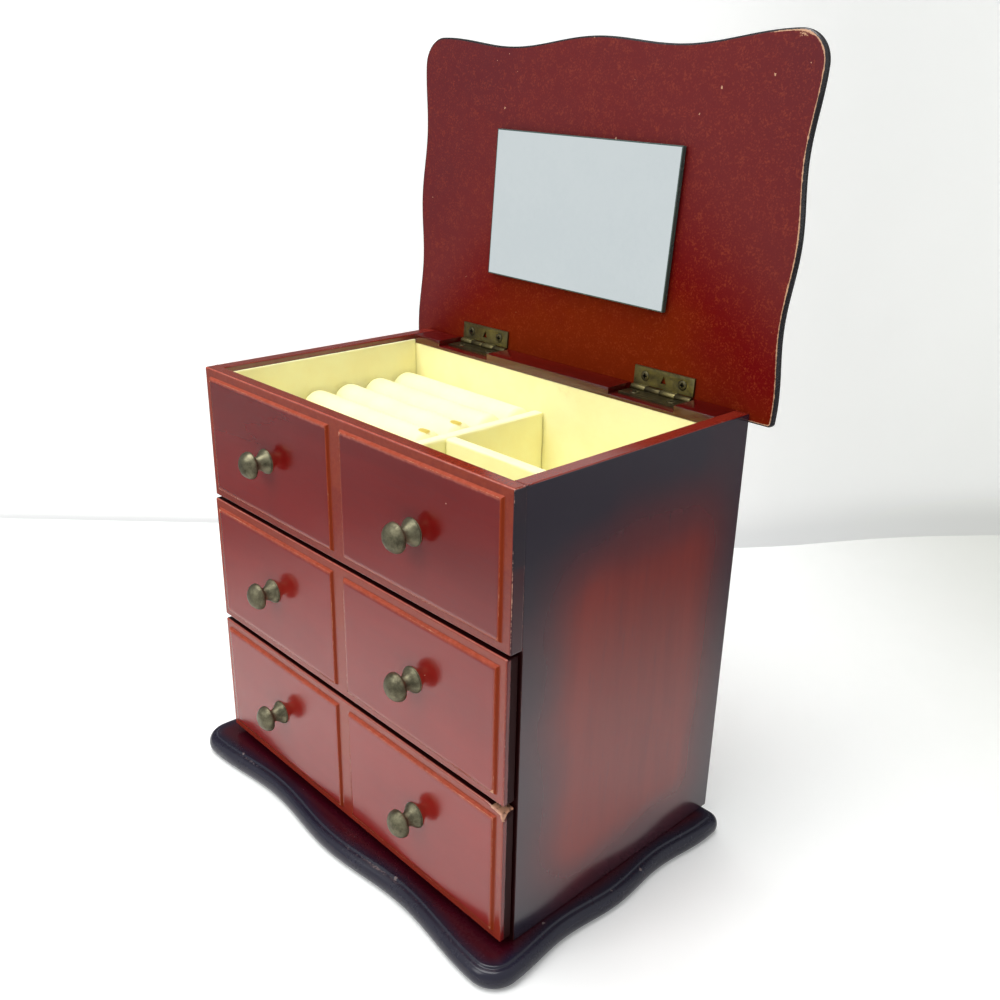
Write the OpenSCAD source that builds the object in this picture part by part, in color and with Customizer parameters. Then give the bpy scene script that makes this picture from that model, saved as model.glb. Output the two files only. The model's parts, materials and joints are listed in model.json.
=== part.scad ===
// Small vanity box: a serpentine plinth, a case with a lined tray, a mirrored lid and two drawers.
// Millimetres, +Z up, the front faces -Y, and the origin is the centre of the case on the plinth's underside.

/* [Case] */
// Width of the case over its side panels
case_w = 160; // [140:1:200]
// Depth of the case, from the face of the top front to the back
case_d = 104.5; // [95:0.5:130]
// Height of the case above the plinth
case_h = 152.5; // [145:0.5:190]
// Thickness of the side panels
side_t = 5; // [4:0.5:8]
// Thickness of the back panel
back_t = 4.5; // [3:0.5:6]
// Thickness of the floor board of the case
floor_t = 2.5; // [2:0.5:4]
// Thickness of the shelf board between the drawers
shelf_t = 3; // [2:0.5:4]
// Thickness of the board that carries the tray
tray_board_t = 2.5; // [2:0.5:4]
// Bevel along the rear top edge, which lets the lid swing past
rear_ease = 0.6; // [0.6:0.1:1.5]

/* [Outline of plinth and lid] */
// How far the outline stands out past each side of the case
overhang = 8.3; // [6:0.1:14]
// Radius of the front corners of the outline
corner_r = 10; // [8:0.5:14]
// Depth of the two hollows along the front
front_wave = 3.3; // [0:0.1:5]
// Depth of the hollows along each side
side_wave = 1.9; // [0:0.1:4]
// Number of full waves along each side
side_waves = 2.1; // [1:0.1:3]
// How far the middle bulge of the front stays behind the corners
bulge_drop = 0.7; // [0:0.1:1.5]

/* [Plinth] */
// Thickness of the plinth
plinth_t = 7; // [6:0.5:12]
// Reach of the plinth in front of the case
plinth_reach = 12.2; // [9:0.1:16]
// Height of the small step above the round of the edge
plinth_step = 0.6; // [0.4:0.1:1.2]
// Width of the moulded edge
plinth_edge = 3.2; // [2:0.1:4]

/* [Fronts] */
// Thickness of the boards of the fronts
front_t = 4.5; // [4:0.5:6]
// Gap between the lowest front and the plinth
gap_low = 2.5; // [1:0.1:4]
// Gap between the two drawer fronts
gap_mid = 1.9; // [1:0.1:3]
// Gap between the upper drawer front and the top front
gap_top = 1.1; // [0.6:0.1:3]
// How much narrower a drawer front is than the case, on each side
drawer_inset = 0.6; // [0.3:0.1:2]
// How far the drawer fronts stand proud of the fixed top front
drawer_proud = 0.6; // [0:0.1:1]
// Height of the raised fields above their front
field_h = 0.9; // [0.5:0.1:2]
// Width of the flat border round the pair of fields
field_border = 2.8; // [2:0.1:6]
// Width of the flat strip between the fields
field_strip = 5.8; // [3:0.1:12]
// Width of the slope at a field's edge
field_slope = 0.7; // [0.4:0.1:2]

/* [Knobs] */
// Diameter of a knob's head
knob_d = 9.2; // [7:0.1:14]
// Diameter of a knob's foot
knob_foot_d = 8.4; // [6:0.1:12]
// Diameter of a knob's neck
knob_neck_d = 3.8; // [3.4:0.1:5]
// How far a knob stands out of its field
knob_l = 9.6; // [8:0.1:16]
// Diameter of a knob's screw
knob_screw_d = 2.2; // [1.6:0.1:2.6]
// How deep a knob's screw goes into it
knob_bite = 4.5; // [3:0.5:6]

/* [Lid] */
// Thickness of the lid board
lid_t = 2.6; // [2.5:0.1:6]
// Reach of the shut lid in front of the case
lid_front = 10.5; // [6:0.1:14]
// Length of the lid behind the hinge axis
lid_tail = 2.2; // [2:0.1:6]
// Rounding of the lid board's edges
lid_edge = 0.7; // [0.3:0.1:1.2]
// Angle to which the lid opens
lid_open = 93; // [90:0.5:93]
// Gap between the closed lid and the rim
lid_gap = 0.15; // [0.1:0.05:0.5]

/* [Mirror] */
// Width of the mirror
mirror_w = 86; // [60:1:110]
// Length of the mirror along the lid
mirror_l = 53; // [40:1:75]
// How far the mirror sits below the middle of the open lid
mirror_low = 1.2; // [-5:0.1:5]
// Thickness of the glass
mirror_t = 1.8; // [1.5:0.1:3]
// Angle at which the mirror is stuck askew
mirror_skew = 1.3; // [0:0.1:3]
// Thickness of the tape behind the mirror
tape_t = 0.5; // [0.3:0.1:1]
// Width of a strip of tape
tape_w = 12; // [6:1:20]

/* [Hinges] */
// Width of a hinge
hinge_w = 25.6; // [20:0.2:30]
// Distance from each side panel to the middle of its hinge
hinge_inset = 30; // [22:0.5:40]
// Length of a leaf from the hinge axis
leaf_l = 7.6; // [7:0.1:9]
// Thickness of a leaf
leaf_t = 0.8; // [0.6:0.1:1]
// Gap between the leaves when the lid is shut
leaf_gap = 0.9; // [0.8:0.1:1.4]
// Diameter of the hinge pin
hinge_pin_d = 1.1; // [0.8:0.1:1.2]
// Distance between the two screws of a leaf
leaf_screw_span = 16; // [12:0.5:19]
// Diameter of the head of a hinge screw
leaf_head_d = 3.6; // [2.8:0.1:4]
// Diameter of the shank of a hinge screw
leaf_screw_d = 1.6; // [1.2:0.1:2]
// Length of the shank of a hinge screw in the rail
rail_screw_l = 6; // [4:0.5:6.5]

/* [Hinge rail] */
// Depth of the hinge rail from front to back
rail_d = 12.5; // [11:0.5:16]
// Height of the hinge rail
rail_h = 10; // [9:0.5:14]
// Height of the rail's face above the lining
rail_lip = 3.5; // [2.6:0.1:5]
// Width of a notch beyond its hinge
notch_extra = 2.6; // [1:0.1:4]

/* [Tray] */
// Thickness of the lined cards
lining_t = 1; // [0.8:0.1:2]
// Distance from the rim down to the top of the lining
lining_drop = 2; // [1:0.5:4]
// Distance from the rim down to the top of the dividers
divider_drop = 15.8; // [12:0.1:25]
// Thickness of the dividers
divider_t = 4.6; // [2:0.1:6]
// Place of the long divider's right face, measured from the middle
divider_x = 0.8; // [-20:0.1:20]
// Distance from the case's front face to the short divider's front
divider_y = 44; // [30:1:70]

/* [Ring rolls] */
// Number of ring rolls
roll_n = 6; // [4:1:7]
// Gap between two rolls
roll_gap = 0.35; // [0.3:0.05:1]
// How far a roll is pressed flat onto its block
roll_sink = 2; // [1:0.1:4]
// Height of the rolls above the dividers
roll_proud = 1.5; // [0:0.1:4]
// Length over which a roll's end draws in
roll_draw = 1.6; // [0.8:0.1:2.4]
// Gap between the soft pieces and what stands beside them
soft_gap = 0.3; // [0.2:0.05:1]

/* [Drawer boxes] */
// Thickness of a drawer's sides and back
drawer_t = 3; // [2:0.5:5]
// Thickness of a drawer's bottom
drawer_bottom_t = 2; // [1.5:0.5:3]
// How much lower a drawer's sides are than its front
drawer_headroom = 9; // [6:0.5:16]
// Running gap beside a drawer
drawer_play = 0.5; // [0.3:0.1:1]
// Running gap under a drawer
drawer_lift = 0.25; // [0.2:0.05:0.5]
// Gap between a shut drawer and the back panel
drawer_stop_gap = 0.3; // [0.2:0.05:0.5]
// Thickness of a drawer's lining
drawer_liner_t = 1; // [0.8:0.1:2]

/* [Hidden] */
$fn = 48;

// Levels and planes of the case
face_y = -case_d / 2;
back_y = case_d / 2;
rim_z = plinth_t + case_h;
inner_x = case_w / 2 - side_t;
hinge_at = inner_x - hinge_inset;
front_h = (case_h - gap_low - gap_mid - gap_top) / 3;
top_front_z = rim_z - front_h;
low_front_z = plinth_t + gap_low;
mid_front_z = low_front_z + front_h + gap_mid;
body_y = face_y + front_t;
inner_back_y = back_y - back_t;
tray_board_lift = 1;
tray_board_z = top_front_z + tray_board_lift;
tray_floor_z = tray_board_z + tray_board_t;
shelf_z = mid_front_z - gap_mid / 2 - shelf_t / 2;
shelf_setback = 0.5;
rail_y = back_y - rail_d;
joint_slack = 0.05;
screw_end_gap = 0.2;

// Hinge axis, and the distance from it to the lid's inner face
plane_d = leaf_t + leaf_gap / 2;
axis_z = rim_z + lid_gap - plane_d;
tail_clear = 0.05;
axis_y = back_y + tail_clear + lid_tail * sin(lid_open - 90) - plane_d * cos(lid_open - 90);
knuckle_r = plane_d - joint_slack;
knuckle_n = 4;
knuckle_gap = 0.2;
leaf_clear = 0.15;
head_rise = 0.35;
lid_reach = axis_y - face_y + lid_front;
mirror_at = (lid_reach - lid_tail) / 2 - mirror_low;

// Tray
lining_top_z = rim_z - lining_drop;
lining_y0 = body_y + lining_t;
lining_setback = 0.1;
lining_y1 = rail_y + lining_setback;
lined_floor_z = tray_floor_z + lining_t;
divider_top_z = rim_z - divider_drop;
divider_left_x = divider_x - divider_t;
roll_space_x = inner_x - lining_t + divider_left_x;
roll_pitch = (lining_y1 - lining_y0 - roll_gap) / roll_n;
roll_r = (roll_pitch - roll_gap) / 2;
roll_top_z = divider_top_z + roll_proud;
block_top_z = roll_top_z - 2 * roll_r + roll_sink;

// Drawers
drawer_face_y = face_y - drawer_proud;
drawer_body_y = drawer_face_y + front_t;
drawer_back_y = inner_back_y - drawer_stop_gap;
drawer_half_w = inner_x - drawer_play;
drawer_side_h = front_h - drawer_headroom;
drawer_w = case_w - 2 * drawer_inset;
low_box_z = plinth_t + floor_t + drawer_lift;
mid_box_z = shelf_z + shelf_t + drawer_lift;

// Colours
lacquer = "#7a3232";
lacquer_dark = "#5a1c1e";
navy = "#33303f";
velvet = "#f5edb0";
pewter = "#8a8870";
brass = "#7a7550";
raw_board = "#a07850";

// The outline of plinth and lid.

outline_steps = 22;
plinth_rear_r = 5;
lid_rear_r = 1.5;

// Half of the outline's width
function outline_half() = case_w / 2 + overhang;

// Length of one wave along the front, from the bulge to a corner
function front_wave_l() = outline_half() - corner_r;

// Depth behind the foremost line at x, along the front
function front_at(x) =
    front_wave * (1 - cos(360 * x / front_wave_l())) / 2
    + bulge_drop * (1 + cos(180 * x / front_wave_l())) / 2;

// Distance in from the widest line at u behind the corner, along a side of length l
function side_at(u, l) = side_wave * (1 - cos(360 * side_waves * u / l)) / 2;

// Right half of the outline, from the middle of the front to the rear corner. The foremost line is at y0.
function half_outline(y0, l, rear_r, steps) =
    let (
        w = outline_half(),
        side_l = l - corner_r - rear_r,
        rear_x = w - side_at(side_l, side_l) - rear_r,
        rear_y = y0 + l - rear_r
    )
    concat(
        [for (i = [0:steps - 1]) let (x = front_wave_l() * i / steps) [x, y0 + front_at(x)]],
        [for (a = [0:15:75]) [w - corner_r + corner_r * sin(a), y0 + corner_r - corner_r * cos(a)]],
        [for (i = [0:steps]) let (u = side_l * i / steps) [w - side_at(u, side_l), y0 + corner_r + u]],
        [for (a = [22.5:22.5:90]) [rear_x + rear_r * cos(a), rear_y + rear_r * sin(a)]]
    );

// The whole outline, anticlockwise from the middle of the front
function outline(y0, l, rear_r, steps) =
    let (half = half_outline(y0, l, rear_r, steps), n = len(half))
    concat(half, [for (i = [n - 1:-1:1]) [-half[i][0], half[i][1]]]);

// The closed line pts moved inwards by d
function inset(pts, d) =
    let (n = len(pts))
    [for (i = [0:n - 1])
        let (
            a = pts[(i + n - 1) % n],
            b = pts[(i + 1) % n],
            t = (b - a) / norm(b - a)
        )
        [pts[i][0] - t[1] * d, pts[i][1] + t[0] * d]];

// A board with the line pts as its plan, and a moulded edge given as [inset, z] from bottom to top
module moulded_board(pts, edge) {
    n = len(pts);
    m = len(edge);
    rings = [for (e = edge) let (ring = inset(pts, e[0])) [for (p = ring) [p[0], p[1], e[1]]]];
    points = [for (ring = rings) for (p = ring) p];
    polyhedron(
        points,
        concat(
            [[for (i = [0:n - 1]) i]],
            [[for (i = [n - 1:-1:0]) (m - 1) * n + i]],
            [for (k = [0:m - 2]) for (i = [0:n - 1])
                let (j = (i + 1) % n)
                each [
                    [k * n + i, (k + 1) * n + i, (k + 1) * n + j],
                    [k * n + i, (k + 1) * n + j, k * n + j]
                ]]
        ),
        convexity = 6
    );
}

// A box from its low corner to its high corner
module box(low, high) {
    translate(low) cube(high - low);
}

// Places its child at x = -at and at x = at
module pair(at) {
    for (side = [-1, 1]) translate([side * at, 0, 0]) children();
}

// Turns a solid of revolution from the Z axis to point to the front
module to_front() {
    rotate([90, 0, 0]) children();
}

// Screw with a countersunk raised head and a cross recess, its head's rim at z = 0, pointing down
module cross_screw(head_d, shank_d, shank_l, rise) {
    sink = (head_d - shank_d) / 2;
    recess = head_d * 0.5;
    recess_w = head_d * 0.16;
    difference() {
        rotate_extrude() polygon([
            [0, -shank_l], [shank_d / 2, -shank_l], [shank_d / 2, -sink], [head_d / 2, 0],
            [head_d / 2 * 0.8, rise * 0.6], [head_d / 2 * 0.45, rise * 0.92], [0, rise]
        ]);
        for (a = [0, 90]) rotate([0, 0, a])
            translate([-recess / 2, -recess_w / 2, -rise / 2]) cube([recess, recess_w, rise * 2]);
    }
}

// Hole for such a screw
module cross_screw_hole(head_d, shank_d, shank_l) {
    sink = (head_d - shank_d) / 2;
    translate([0, 0, -shank_l]) cylinder(d = shank_d + 2 * joint_slack, h = shank_l + 1);
    translate([0, 0, -sink - joint_slack])
        cylinder(d1 = shank_d, d2 = head_d + 2 * joint_slack, h = sink + joint_slack);
}

// Plinth and its screws.

plinth_screw_d = 2.6;
plinth_head_d = 5.6;
plinth_screw_l = 22;
plinth_head_sink = 0.4;

// Places of the screws up into the side panels
module plinth_screw_places() {
    pair(case_w / 2 - side_t / 2) for (y = [body_y + 16, back_y - 16])
        translate([0, y, plinth_head_sink]) rotate([180, 0, 0]) children();
}

// Edge of the plinth as [inset, z], with a quarter hollow under the step
function plinth_edge_line() =
    let (h = plinth_t - plinth_step, r = h / 2)
    concat(
        [for (a = [-60:20:60]) [r * (1 - cos(a)) * 0.9, r + r * sin(a) / sin(60)]],
        [[plinth_edge - 0.2, h], [plinth_edge, plinth_t - 0.15], [plinth_edge + 0.15, plinth_t]]
    );

module base_plinth() {
    l = case_d + plinth_reach;
    color(navy) difference() {
        moulded_board(outline(face_y - plinth_reach, l, plinth_rear_r, outline_steps), plinth_edge_line());
        plinth_screw_places() cross_screw_hole(plinth_head_d, plinth_screw_d, plinth_screw_l);
        plinth_screw_places() cylinder(d = plinth_head_d + 2 * joint_slack, h = plinth_head_sink + 1);
    }
}

module plinth_screws() {
    color(pewter) plinth_screw_places()
        cross_screw(plinth_head_d, plinth_screw_d, plinth_screw_l, plinth_head_sink / 2);
}

// Case.

// Cuts the bevel along the rear top edge of the case
module rear_bevel() {
    translate([0, back_y, rim_z]) rotate([45, 0, 0])
        cube([case_w + 2, rear_ease * sqrt(2), rear_ease * sqrt(2)], center = true);
}

module side_panel(side) {
    outer = case_w / 2;
    difference() {
        box(
            [side > 0 ? inner_x : -outer, body_y, plinth_t],
            [side > 0 ? outer : -inner_x, back_y, rim_z]
        );
        rear_bevel();
        plinth_screw_places() cross_screw_hole(plinth_head_d, plinth_screw_d, plinth_screw_l);
    }
}

module side_panel_left() {
    color(lacquer) side_panel(-1);
}

module side_panel_right() {
    color(lacquer) side_panel(1);
}

module back_panel() {
    color(lacquer_dark) box([-inner_x, inner_back_y, plinth_t], [inner_x, back_y, rim_z - rail_h]);
}

module hinge_rail() {
    notch_w = hinge_w + notch_extra;
    notch_z = axis_z - plane_d;
    color(lacquer_dark) difference() {
        box([-inner_x, rail_y, rim_z - rail_h], [inner_x, back_y, rim_z]);
        rear_bevel();
        // Rebate that takes the top of the lining
        box(
            [-inner_x - 1, rail_y - 1, rim_z - rail_h - 1],
            [inner_x + 1, lining_y1 + lining_t, rim_z - rail_lip]
        );
        pair(hinge_at) box([-notch_w / 2, rail_y - 1, notch_z], [notch_w / 2, back_y + 1, rim_z + 1]);
        leaf_screw_places(-1) cross_screw_hole(leaf_head_d, leaf_screw_d, rail_screw_l);
        leaf_screw_places(1) cross_screw_hole(leaf_head_d, leaf_screw_d, rail_screw_l);
    }
}

module tray_board() {
    color(raw_board) box([-inner_x, body_y, tray_board_z], [inner_x, inner_back_y, tray_floor_z]);
}

module shelf_board() {
    color(raw_board) box(
        [-inner_x, body_y + shelf_setback, shelf_z],
        [inner_x, inner_back_y, shelf_z + shelf_t]
    );
}

module case_floor() {
    color(raw_board) box(
        [-inner_x, body_y + shelf_setback, plinth_t],
        [inner_x, inner_back_y, plinth_t + floor_t]
    );
}

// Fronts.

// Height of the knobs above the bottom of their front
knob_z = front_h / 2;
// Distance from the middle to each knob, the middle of a field
knob_x = (case_w / 2 - drawer_inset - field_border + field_strip / 2) / 2;

// A raised field with sloping edges, from [x0, z0] to [x1, z1], standing out of the plane y = 0
module field(x0, x1, z0, z1) {
    s = field_slope;
    hull() {
        box([x0, -0.01, z0], [x1, 0.3, z1]);
        box([x0 + s, -field_h, z0 + s], [x1 - s, 0, z1 - s]);
    }
}

// A front of width w with two fields and two knob holes, its face at y and its bottom at z
module front_panel(w, y, z) {
    half = knob_x * 2 - field_strip / 2;
    translate([0, y, z]) difference() {
        union() {
            box([-w / 2, 0, 0], [w / 2, front_t, front_h]);
            field(field_strip / 2, half, field_border, front_h - field_border);
            field(-half, -field_strip / 2, field_border, front_h - field_border);
        }
        pair(knob_x) translate([0, front_t + 1, knob_z])
            to_front() cylinder(d = knob_screw_d + 2 * joint_slack, h = front_t + field_h + 2);
    }
}

module top_front() {
    color(lacquer) front_panel(case_w, face_y, top_front_z);
}

// Knob: a trumpet foot, a neck and a domed head, with its foot at z = 0
module knob() {
    head = knob_d / 2;
    foot = knob_foot_d / 2;
    neck = knob_neck_d / 2;
    l = knob_l;
    color(pewter) difference() {
        rotate_extrude() polygon([
            [0, 0], [foot, 0], [foot, 0.6], [foot * 0.86, 1.1], [(foot + neck) / 2, 1.9],
            [neck * 1.12, 2.9], [neck, 3.9], [neck, l * 0.5], [neck * 1.2, l * 0.58],
            [head * 0.8, l * 0.66], [head, l * 0.72], [head, l * 0.77], [head * 0.93, l * 0.84],
            [head * 0.75, l * 0.92], [head * 0.45, l * 0.98], [0, l]
        ]);
        translate([0, 0, -1])
            cylinder(d = knob_screw_d + 2 * joint_slack, h = 1 + knob_bite + screw_end_gap);
    }
}

knob_screw_head_d = knob_screw_d * 2;
knob_screw_head_h = 0.8;
screw_slot = 0.6;

// Screw of a knob, its head on the plane z = 0 and its shank up along +Z
module knob_screw() {
    difference() {
        union() {
            translate([0, 0, -knob_screw_head_h]) cylinder(d = knob_screw_head_d, h = knob_screw_head_h);
            cylinder(d = knob_screw_d, h = front_t + field_h + knob_bite);
        }
        translate([-knob_screw_head_d / 2, -screw_slot / 2, -knob_screw_head_h - 1])
            cube([knob_screw_head_d, screw_slot, 1 + knob_screw_head_h / 2]);
    }
}

module knob_at(side, y, z) {
    translate([side * knob_x, y - field_h, z + knob_z]) to_front() knob();
}

module knob_screw_pair(y, z) {
    color(pewter) pair(knob_x) translate([0, y + front_t, z + knob_z]) to_front() knob_screw();
}

module top_knob_left() {
    knob_at(-1, face_y, top_front_z);
}

module top_knob_right() {
    knob_at(1, face_y, top_front_z);
}

module top_knob_screws() {
    knob_screw_pair(face_y, top_front_z);
}

// Tray.

module lining_floor() {
    color(velvet) box(
        [-inner_x, body_y, tray_floor_z],
        [inner_x, lining_y1 + lining_t, lined_floor_z]
    );
}

// Lining of one side, between the linings of the front and the back
module lining_side(side) {
    x0 = side > 0 ? inner_x - lining_t : -inner_x;
    box([x0, lining_y0, lined_floor_z], [x0 + lining_t, rail_y, lining_top_z]);
}

module lining_left() {
    color(velvet) lining_side(-1);
}

module lining_right() {
    color(velvet) lining_side(1);
}

module lining_front() {
    // Pockets let the heads of the knob screws sink in
    color(velvet) difference() {
        box([-inner_x, body_y, lined_floor_z], [inner_x, lining_y0, lining_top_z]);
        pair(knob_x) translate([0, lining_y0 + 1, top_front_z + knob_z])
            to_front() cylinder(d = knob_screw_head_d + 4 * joint_slack, h = lining_t + 2);
    }
}

module lining_back() {
    color(velvet) box(
        [-inner_x, lining_y1, lined_floor_z],
        [inner_x, lining_y1 + lining_t, rim_z - rail_lip]
    );
}

module divider_long() {
    color(velvet) box([divider_left_x, lining_y0, lined_floor_z], [divider_x, lining_y1, divider_top_z]);
}

module divider_short() {
    y0 = face_y + divider_y;
    color(velvet) box([divider_x, y0, lined_floor_z], [inner_x - lining_t, y0 + divider_t, divider_top_z]);
}

module roll_block() {
    color(velvet) box(
        [-inner_x + lining_t + soft_gap, lining_y0 + soft_gap, lined_floor_z],
        [divider_left_x - soft_gap, lining_y1 - soft_gap, block_top_z]
    );
}

// One ring roll along X from x = 0, crowned and drawn in at its ends, flat where it rests
module ring_roll(l) {
    r = roll_r;
    draw = roll_draw;
    difference() {
        rotate([0, 90, 0]) rotate_extrude() polygon([
            [0, 0], [r - draw, 0], [r - draw * 0.45, draw * 0.35], [r - draw * 0.12, draw * 1.1],
            [r, draw * 2.4], [r, l - draw * 2.4], [r - draw * 0.12, l - draw * 1.1],
            [r - draw * 0.45, l - draw * 0.35], [r - draw, l], [0, l]
        ]);
        translate([-1, -r - 1, -r - 1]) cube([l + 2, 2 * r + 2, roll_sink + 1]);
    }
}

module ring_rolls() {
    l = roll_space_x - 2 * soft_gap;
    color(velvet) for (i = [0:roll_n - 1]) translate([
        -inner_x + lining_t + soft_gap,
        lining_y0 + roll_gap + roll_r + i * roll_pitch,
        roll_top_z - roll_r
    ]) ring_roll(l);
}

// Hinges. Each leaf is drawn shut and flat, with the hinge axis as the X axis.

// One knuckle, number k of the row, round the X axis
module knuckle(k) {
    pitch = hinge_w / knuckle_n;
    translate([-hinge_w / 2 + k * pitch + knuckle_gap / 2, 0, 0])
        rotate([0, 90, 0]) cylinder(r = knuckle_r, h = pitch - knuckle_gap);
}

// A leaf on the side up (1) or down (-1) of the axis, with every second knuckle from first on
module leaf(up, first) {
    pitch = hinge_w / knuckle_n;
    z0 = up > 0 ? leaf_gap / 2 : -plane_d;
    difference() {
        union() {
            box([-hinge_w / 2, -leaf_l, z0], [hinge_w / 2, -knuckle_r - leaf_clear, z0 + leaf_t]);
            for (k = [first:2:knuckle_n - 1]) {
                x0 = -hinge_w / 2 + k * pitch + knuckle_gap / 2;
                knuckle(k);
                box([x0, -knuckle_r - leaf_clear - 0.1, z0], [x0 + pitch - knuckle_gap, 0, z0 + leaf_t]);
            }
        }
        translate([-hinge_w / 2 - 1, 0, 0]) rotate([0, 90, 0])
            cylinder(d = hinge_pin_d + 2 * joint_slack, h = hinge_w + 2);
        for (x = [-leaf_screw_span / 2, leaf_screw_span / 2])
            translate([x, leaf_screw_y(), z0 + leaf_t / 2]) rotate([up > 0 ? 180 : 0, 0, 0])
                translate([0, 0, leaf_t / 2]) cross_screw_hole(leaf_head_d, leaf_screw_d, leaf_t + 1);
        // Small pierced triangle in the middle
        if (up > 0) translate([0, leaf_screw_y(), z0 - 1]) linear_extrude(leaf_t + 2)
            polygon([[-1.2, 1.2], [1.2, 1.2], [0, -1.6]]);
    }
}

// Distance of the screws from the hinge axis
function leaf_screw_y() = -(leaf_l + knuckle_r) / 2;

// Puts what is drawn round the hinge axis, shut, into its place with the lid open
module on_axis(open) {
    translate([0, axis_y, axis_z]) rotate([open ? -lid_open : 0, 0, 0]) children();
}

module leaf_screw_places(side) {
    on_axis(false) for (x = [-leaf_screw_span / 2, leaf_screw_span / 2])
        translate([side * hinge_at + x, leaf_screw_y(), -plane_d + leaf_t]) children();
}

module case_leaf(side) {
    color(brass) on_axis(false) translate([side * hinge_at, 0, 0]) leaf(-1, 1);
}

module lid_leaf(side) {
    color(brass) on_axis(true) translate([side * hinge_at, 0, 0]) leaf(1, 0);
}

module hinge_pin(side) {
    color(brass) on_axis(false) translate([side * hinge_at - hinge_w / 2, 0, 0])
        rotate([0, 90, 0]) cylinder(d = hinge_pin_d, h = hinge_w);
}

module hinge_left_case_leaf() {
    case_leaf(-1);
}

module hinge_left_lid_leaf() {
    lid_leaf(-1);
}

module hinge_left_pin() {
    hinge_pin(-1);
}

module hinge_right_case_leaf() {
    case_leaf(1);
}

module hinge_right_lid_leaf() {
    lid_leaf(1);
}

module hinge_right_pin() {
    hinge_pin(1);
}

module hinge_case_screws() {
    color(pewter) for (side = [-1, 1])
        leaf_screw_places(side) cross_screw(leaf_head_d, leaf_screw_d, rail_screw_l, head_rise);
}

// Places of the lid's hinge screws, in the shut lid
module lid_screw_places() {
    for (side = [-1, 1]) for (x = [-leaf_screw_span / 2, leaf_screw_span / 2])
        translate([side * hinge_at + x, leaf_screw_y(), plane_d - leaf_t]) rotate([180, 0, 0]) children();
}

// The hinge screws of the lid stop short of its outer face
lid_screw_cover = 0.5;
lid_screw_l = leaf_t + lid_t - lid_screw_cover;

module hinge_lid_screws() {
    color(pewter) on_axis(true) lid_screw_places()
        cross_screw(leaf_head_d, leaf_screw_d, lid_screw_l, head_rise);
}

// Lid.

// Two layers stand in for the rounding of the lid board's edge
module lid_board() {
    plan = outline(-lid_reach, lid_reach + lid_tail, lid_rear_r, outline_steps);
    linear_extrude(lid_t) polygon(inset(plan, lid_edge / 2));
    translate([0, 0, lid_edge / 2]) linear_extrude(lid_t - lid_edge) polygon(plan);
}

module lid_panel() {
    color(lacquer) on_axis(true) difference() {
        translate([0, 0, plane_d]) lid_board();
        lid_screw_places() cross_screw_hole(leaf_head_d, leaf_screw_d, lid_screw_l + screw_end_gap);
    }
}

// Puts what is drawn flat round the mirror's middle, on the plane z = 0, on the lid
module on_mirror(depth) {
    on_axis(true) translate([0, -mirror_at, plane_d - depth]) rotate([0, 0, mirror_skew]) children();
}

module mirror_glass() {
    color("#cbd4d5") on_mirror(tape_t + mirror_t)
        translate([-mirror_w / 2, -mirror_l / 2, 0]) cube([mirror_w, mirror_l, mirror_t]);
}

module mirror_tape() {
    inset_x = 4;
    color("#2c2c2c") on_mirror(tape_t) for (side = [-1, 1])
        translate([side * (mirror_w / 2 - inset_x - tape_w / 2) - tape_w / 2, -mirror_l / 2 + inset_x, 0])
            cube([tape_w, mirror_l - 2 * inset_x, tape_t]);
}

// Drawers. Each is a box whose bottom is at z, behind a front whose bottom is at front_z.

module drawer_side(side, z) {
    x0 = side > 0 ? drawer_half_w - drawer_t : -drawer_half_w;
    box([x0, drawer_body_y, z], [x0 + drawer_t, drawer_back_y, z + drawer_side_h]);
}

module drawer_back(z) {
    x = drawer_half_w - drawer_t;
    box([-x, drawer_back_y - drawer_t, z], [x, drawer_back_y, z + drawer_side_h]);
}

module drawer_bottom(z) {
    x = drawer_half_w - drawer_t;
    box([-x, drawer_body_y, z], [x, drawer_back_y - drawer_t, z + drawer_bottom_t]);
}

module drawer_liner(z) {
    x = drawer_half_w - drawer_t;
    z0 = z + drawer_bottom_t;
    box([-x, drawer_body_y, z0], [x, drawer_back_y - drawer_t, z0 + drawer_liner_t]);
}

module mid_drawer_front() {
    color(lacquer) front_panel(drawer_w, drawer_face_y, mid_front_z);
}

module mid_drawer_side_left() {
    color(raw_board) drawer_side(-1, mid_box_z);
}

module mid_drawer_side_right() {
    color(raw_board) drawer_side(1, mid_box_z);
}

module mid_drawer_back() {
    color(raw_board) drawer_back(mid_box_z);
}

module mid_drawer_bottom() {
    color(raw_board) drawer_bottom(mid_box_z);
}

module mid_drawer_liner() {
    color(velvet) drawer_liner(mid_box_z);
}

module mid_knob_left() {
    knob_at(-1, drawer_face_y, mid_front_z);
}

module mid_knob_right() {
    knob_at(1, drawer_face_y, mid_front_z);
}

module mid_knob_screws() {
    knob_screw_pair(drawer_face_y, mid_front_z);
}

module low_drawer_front() {
    color(lacquer) front_panel(drawer_w, drawer_face_y, low_front_z);
}

module low_drawer_side_left() {
    color(raw_board) drawer_side(-1, low_box_z);
}

module low_drawer_side_right() {
    color(raw_board) drawer_side(1, low_box_z);
}

module low_drawer_back() {
    color(raw_board) drawer_back(low_box_z);
}

module low_drawer_bottom() {
    color(raw_board) drawer_bottom(low_box_z);
}

module low_drawer_liner() {
    color(velvet) drawer_liner(low_box_z);
}

module low_knob_left() {
    knob_at(-1, drawer_face_y, low_front_z);
}

module low_knob_right() {
    knob_at(1, drawer_face_y, low_front_z);
}

module low_knob_screws() {
    knob_screw_pair(drawer_face_y, low_front_z);
}

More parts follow.
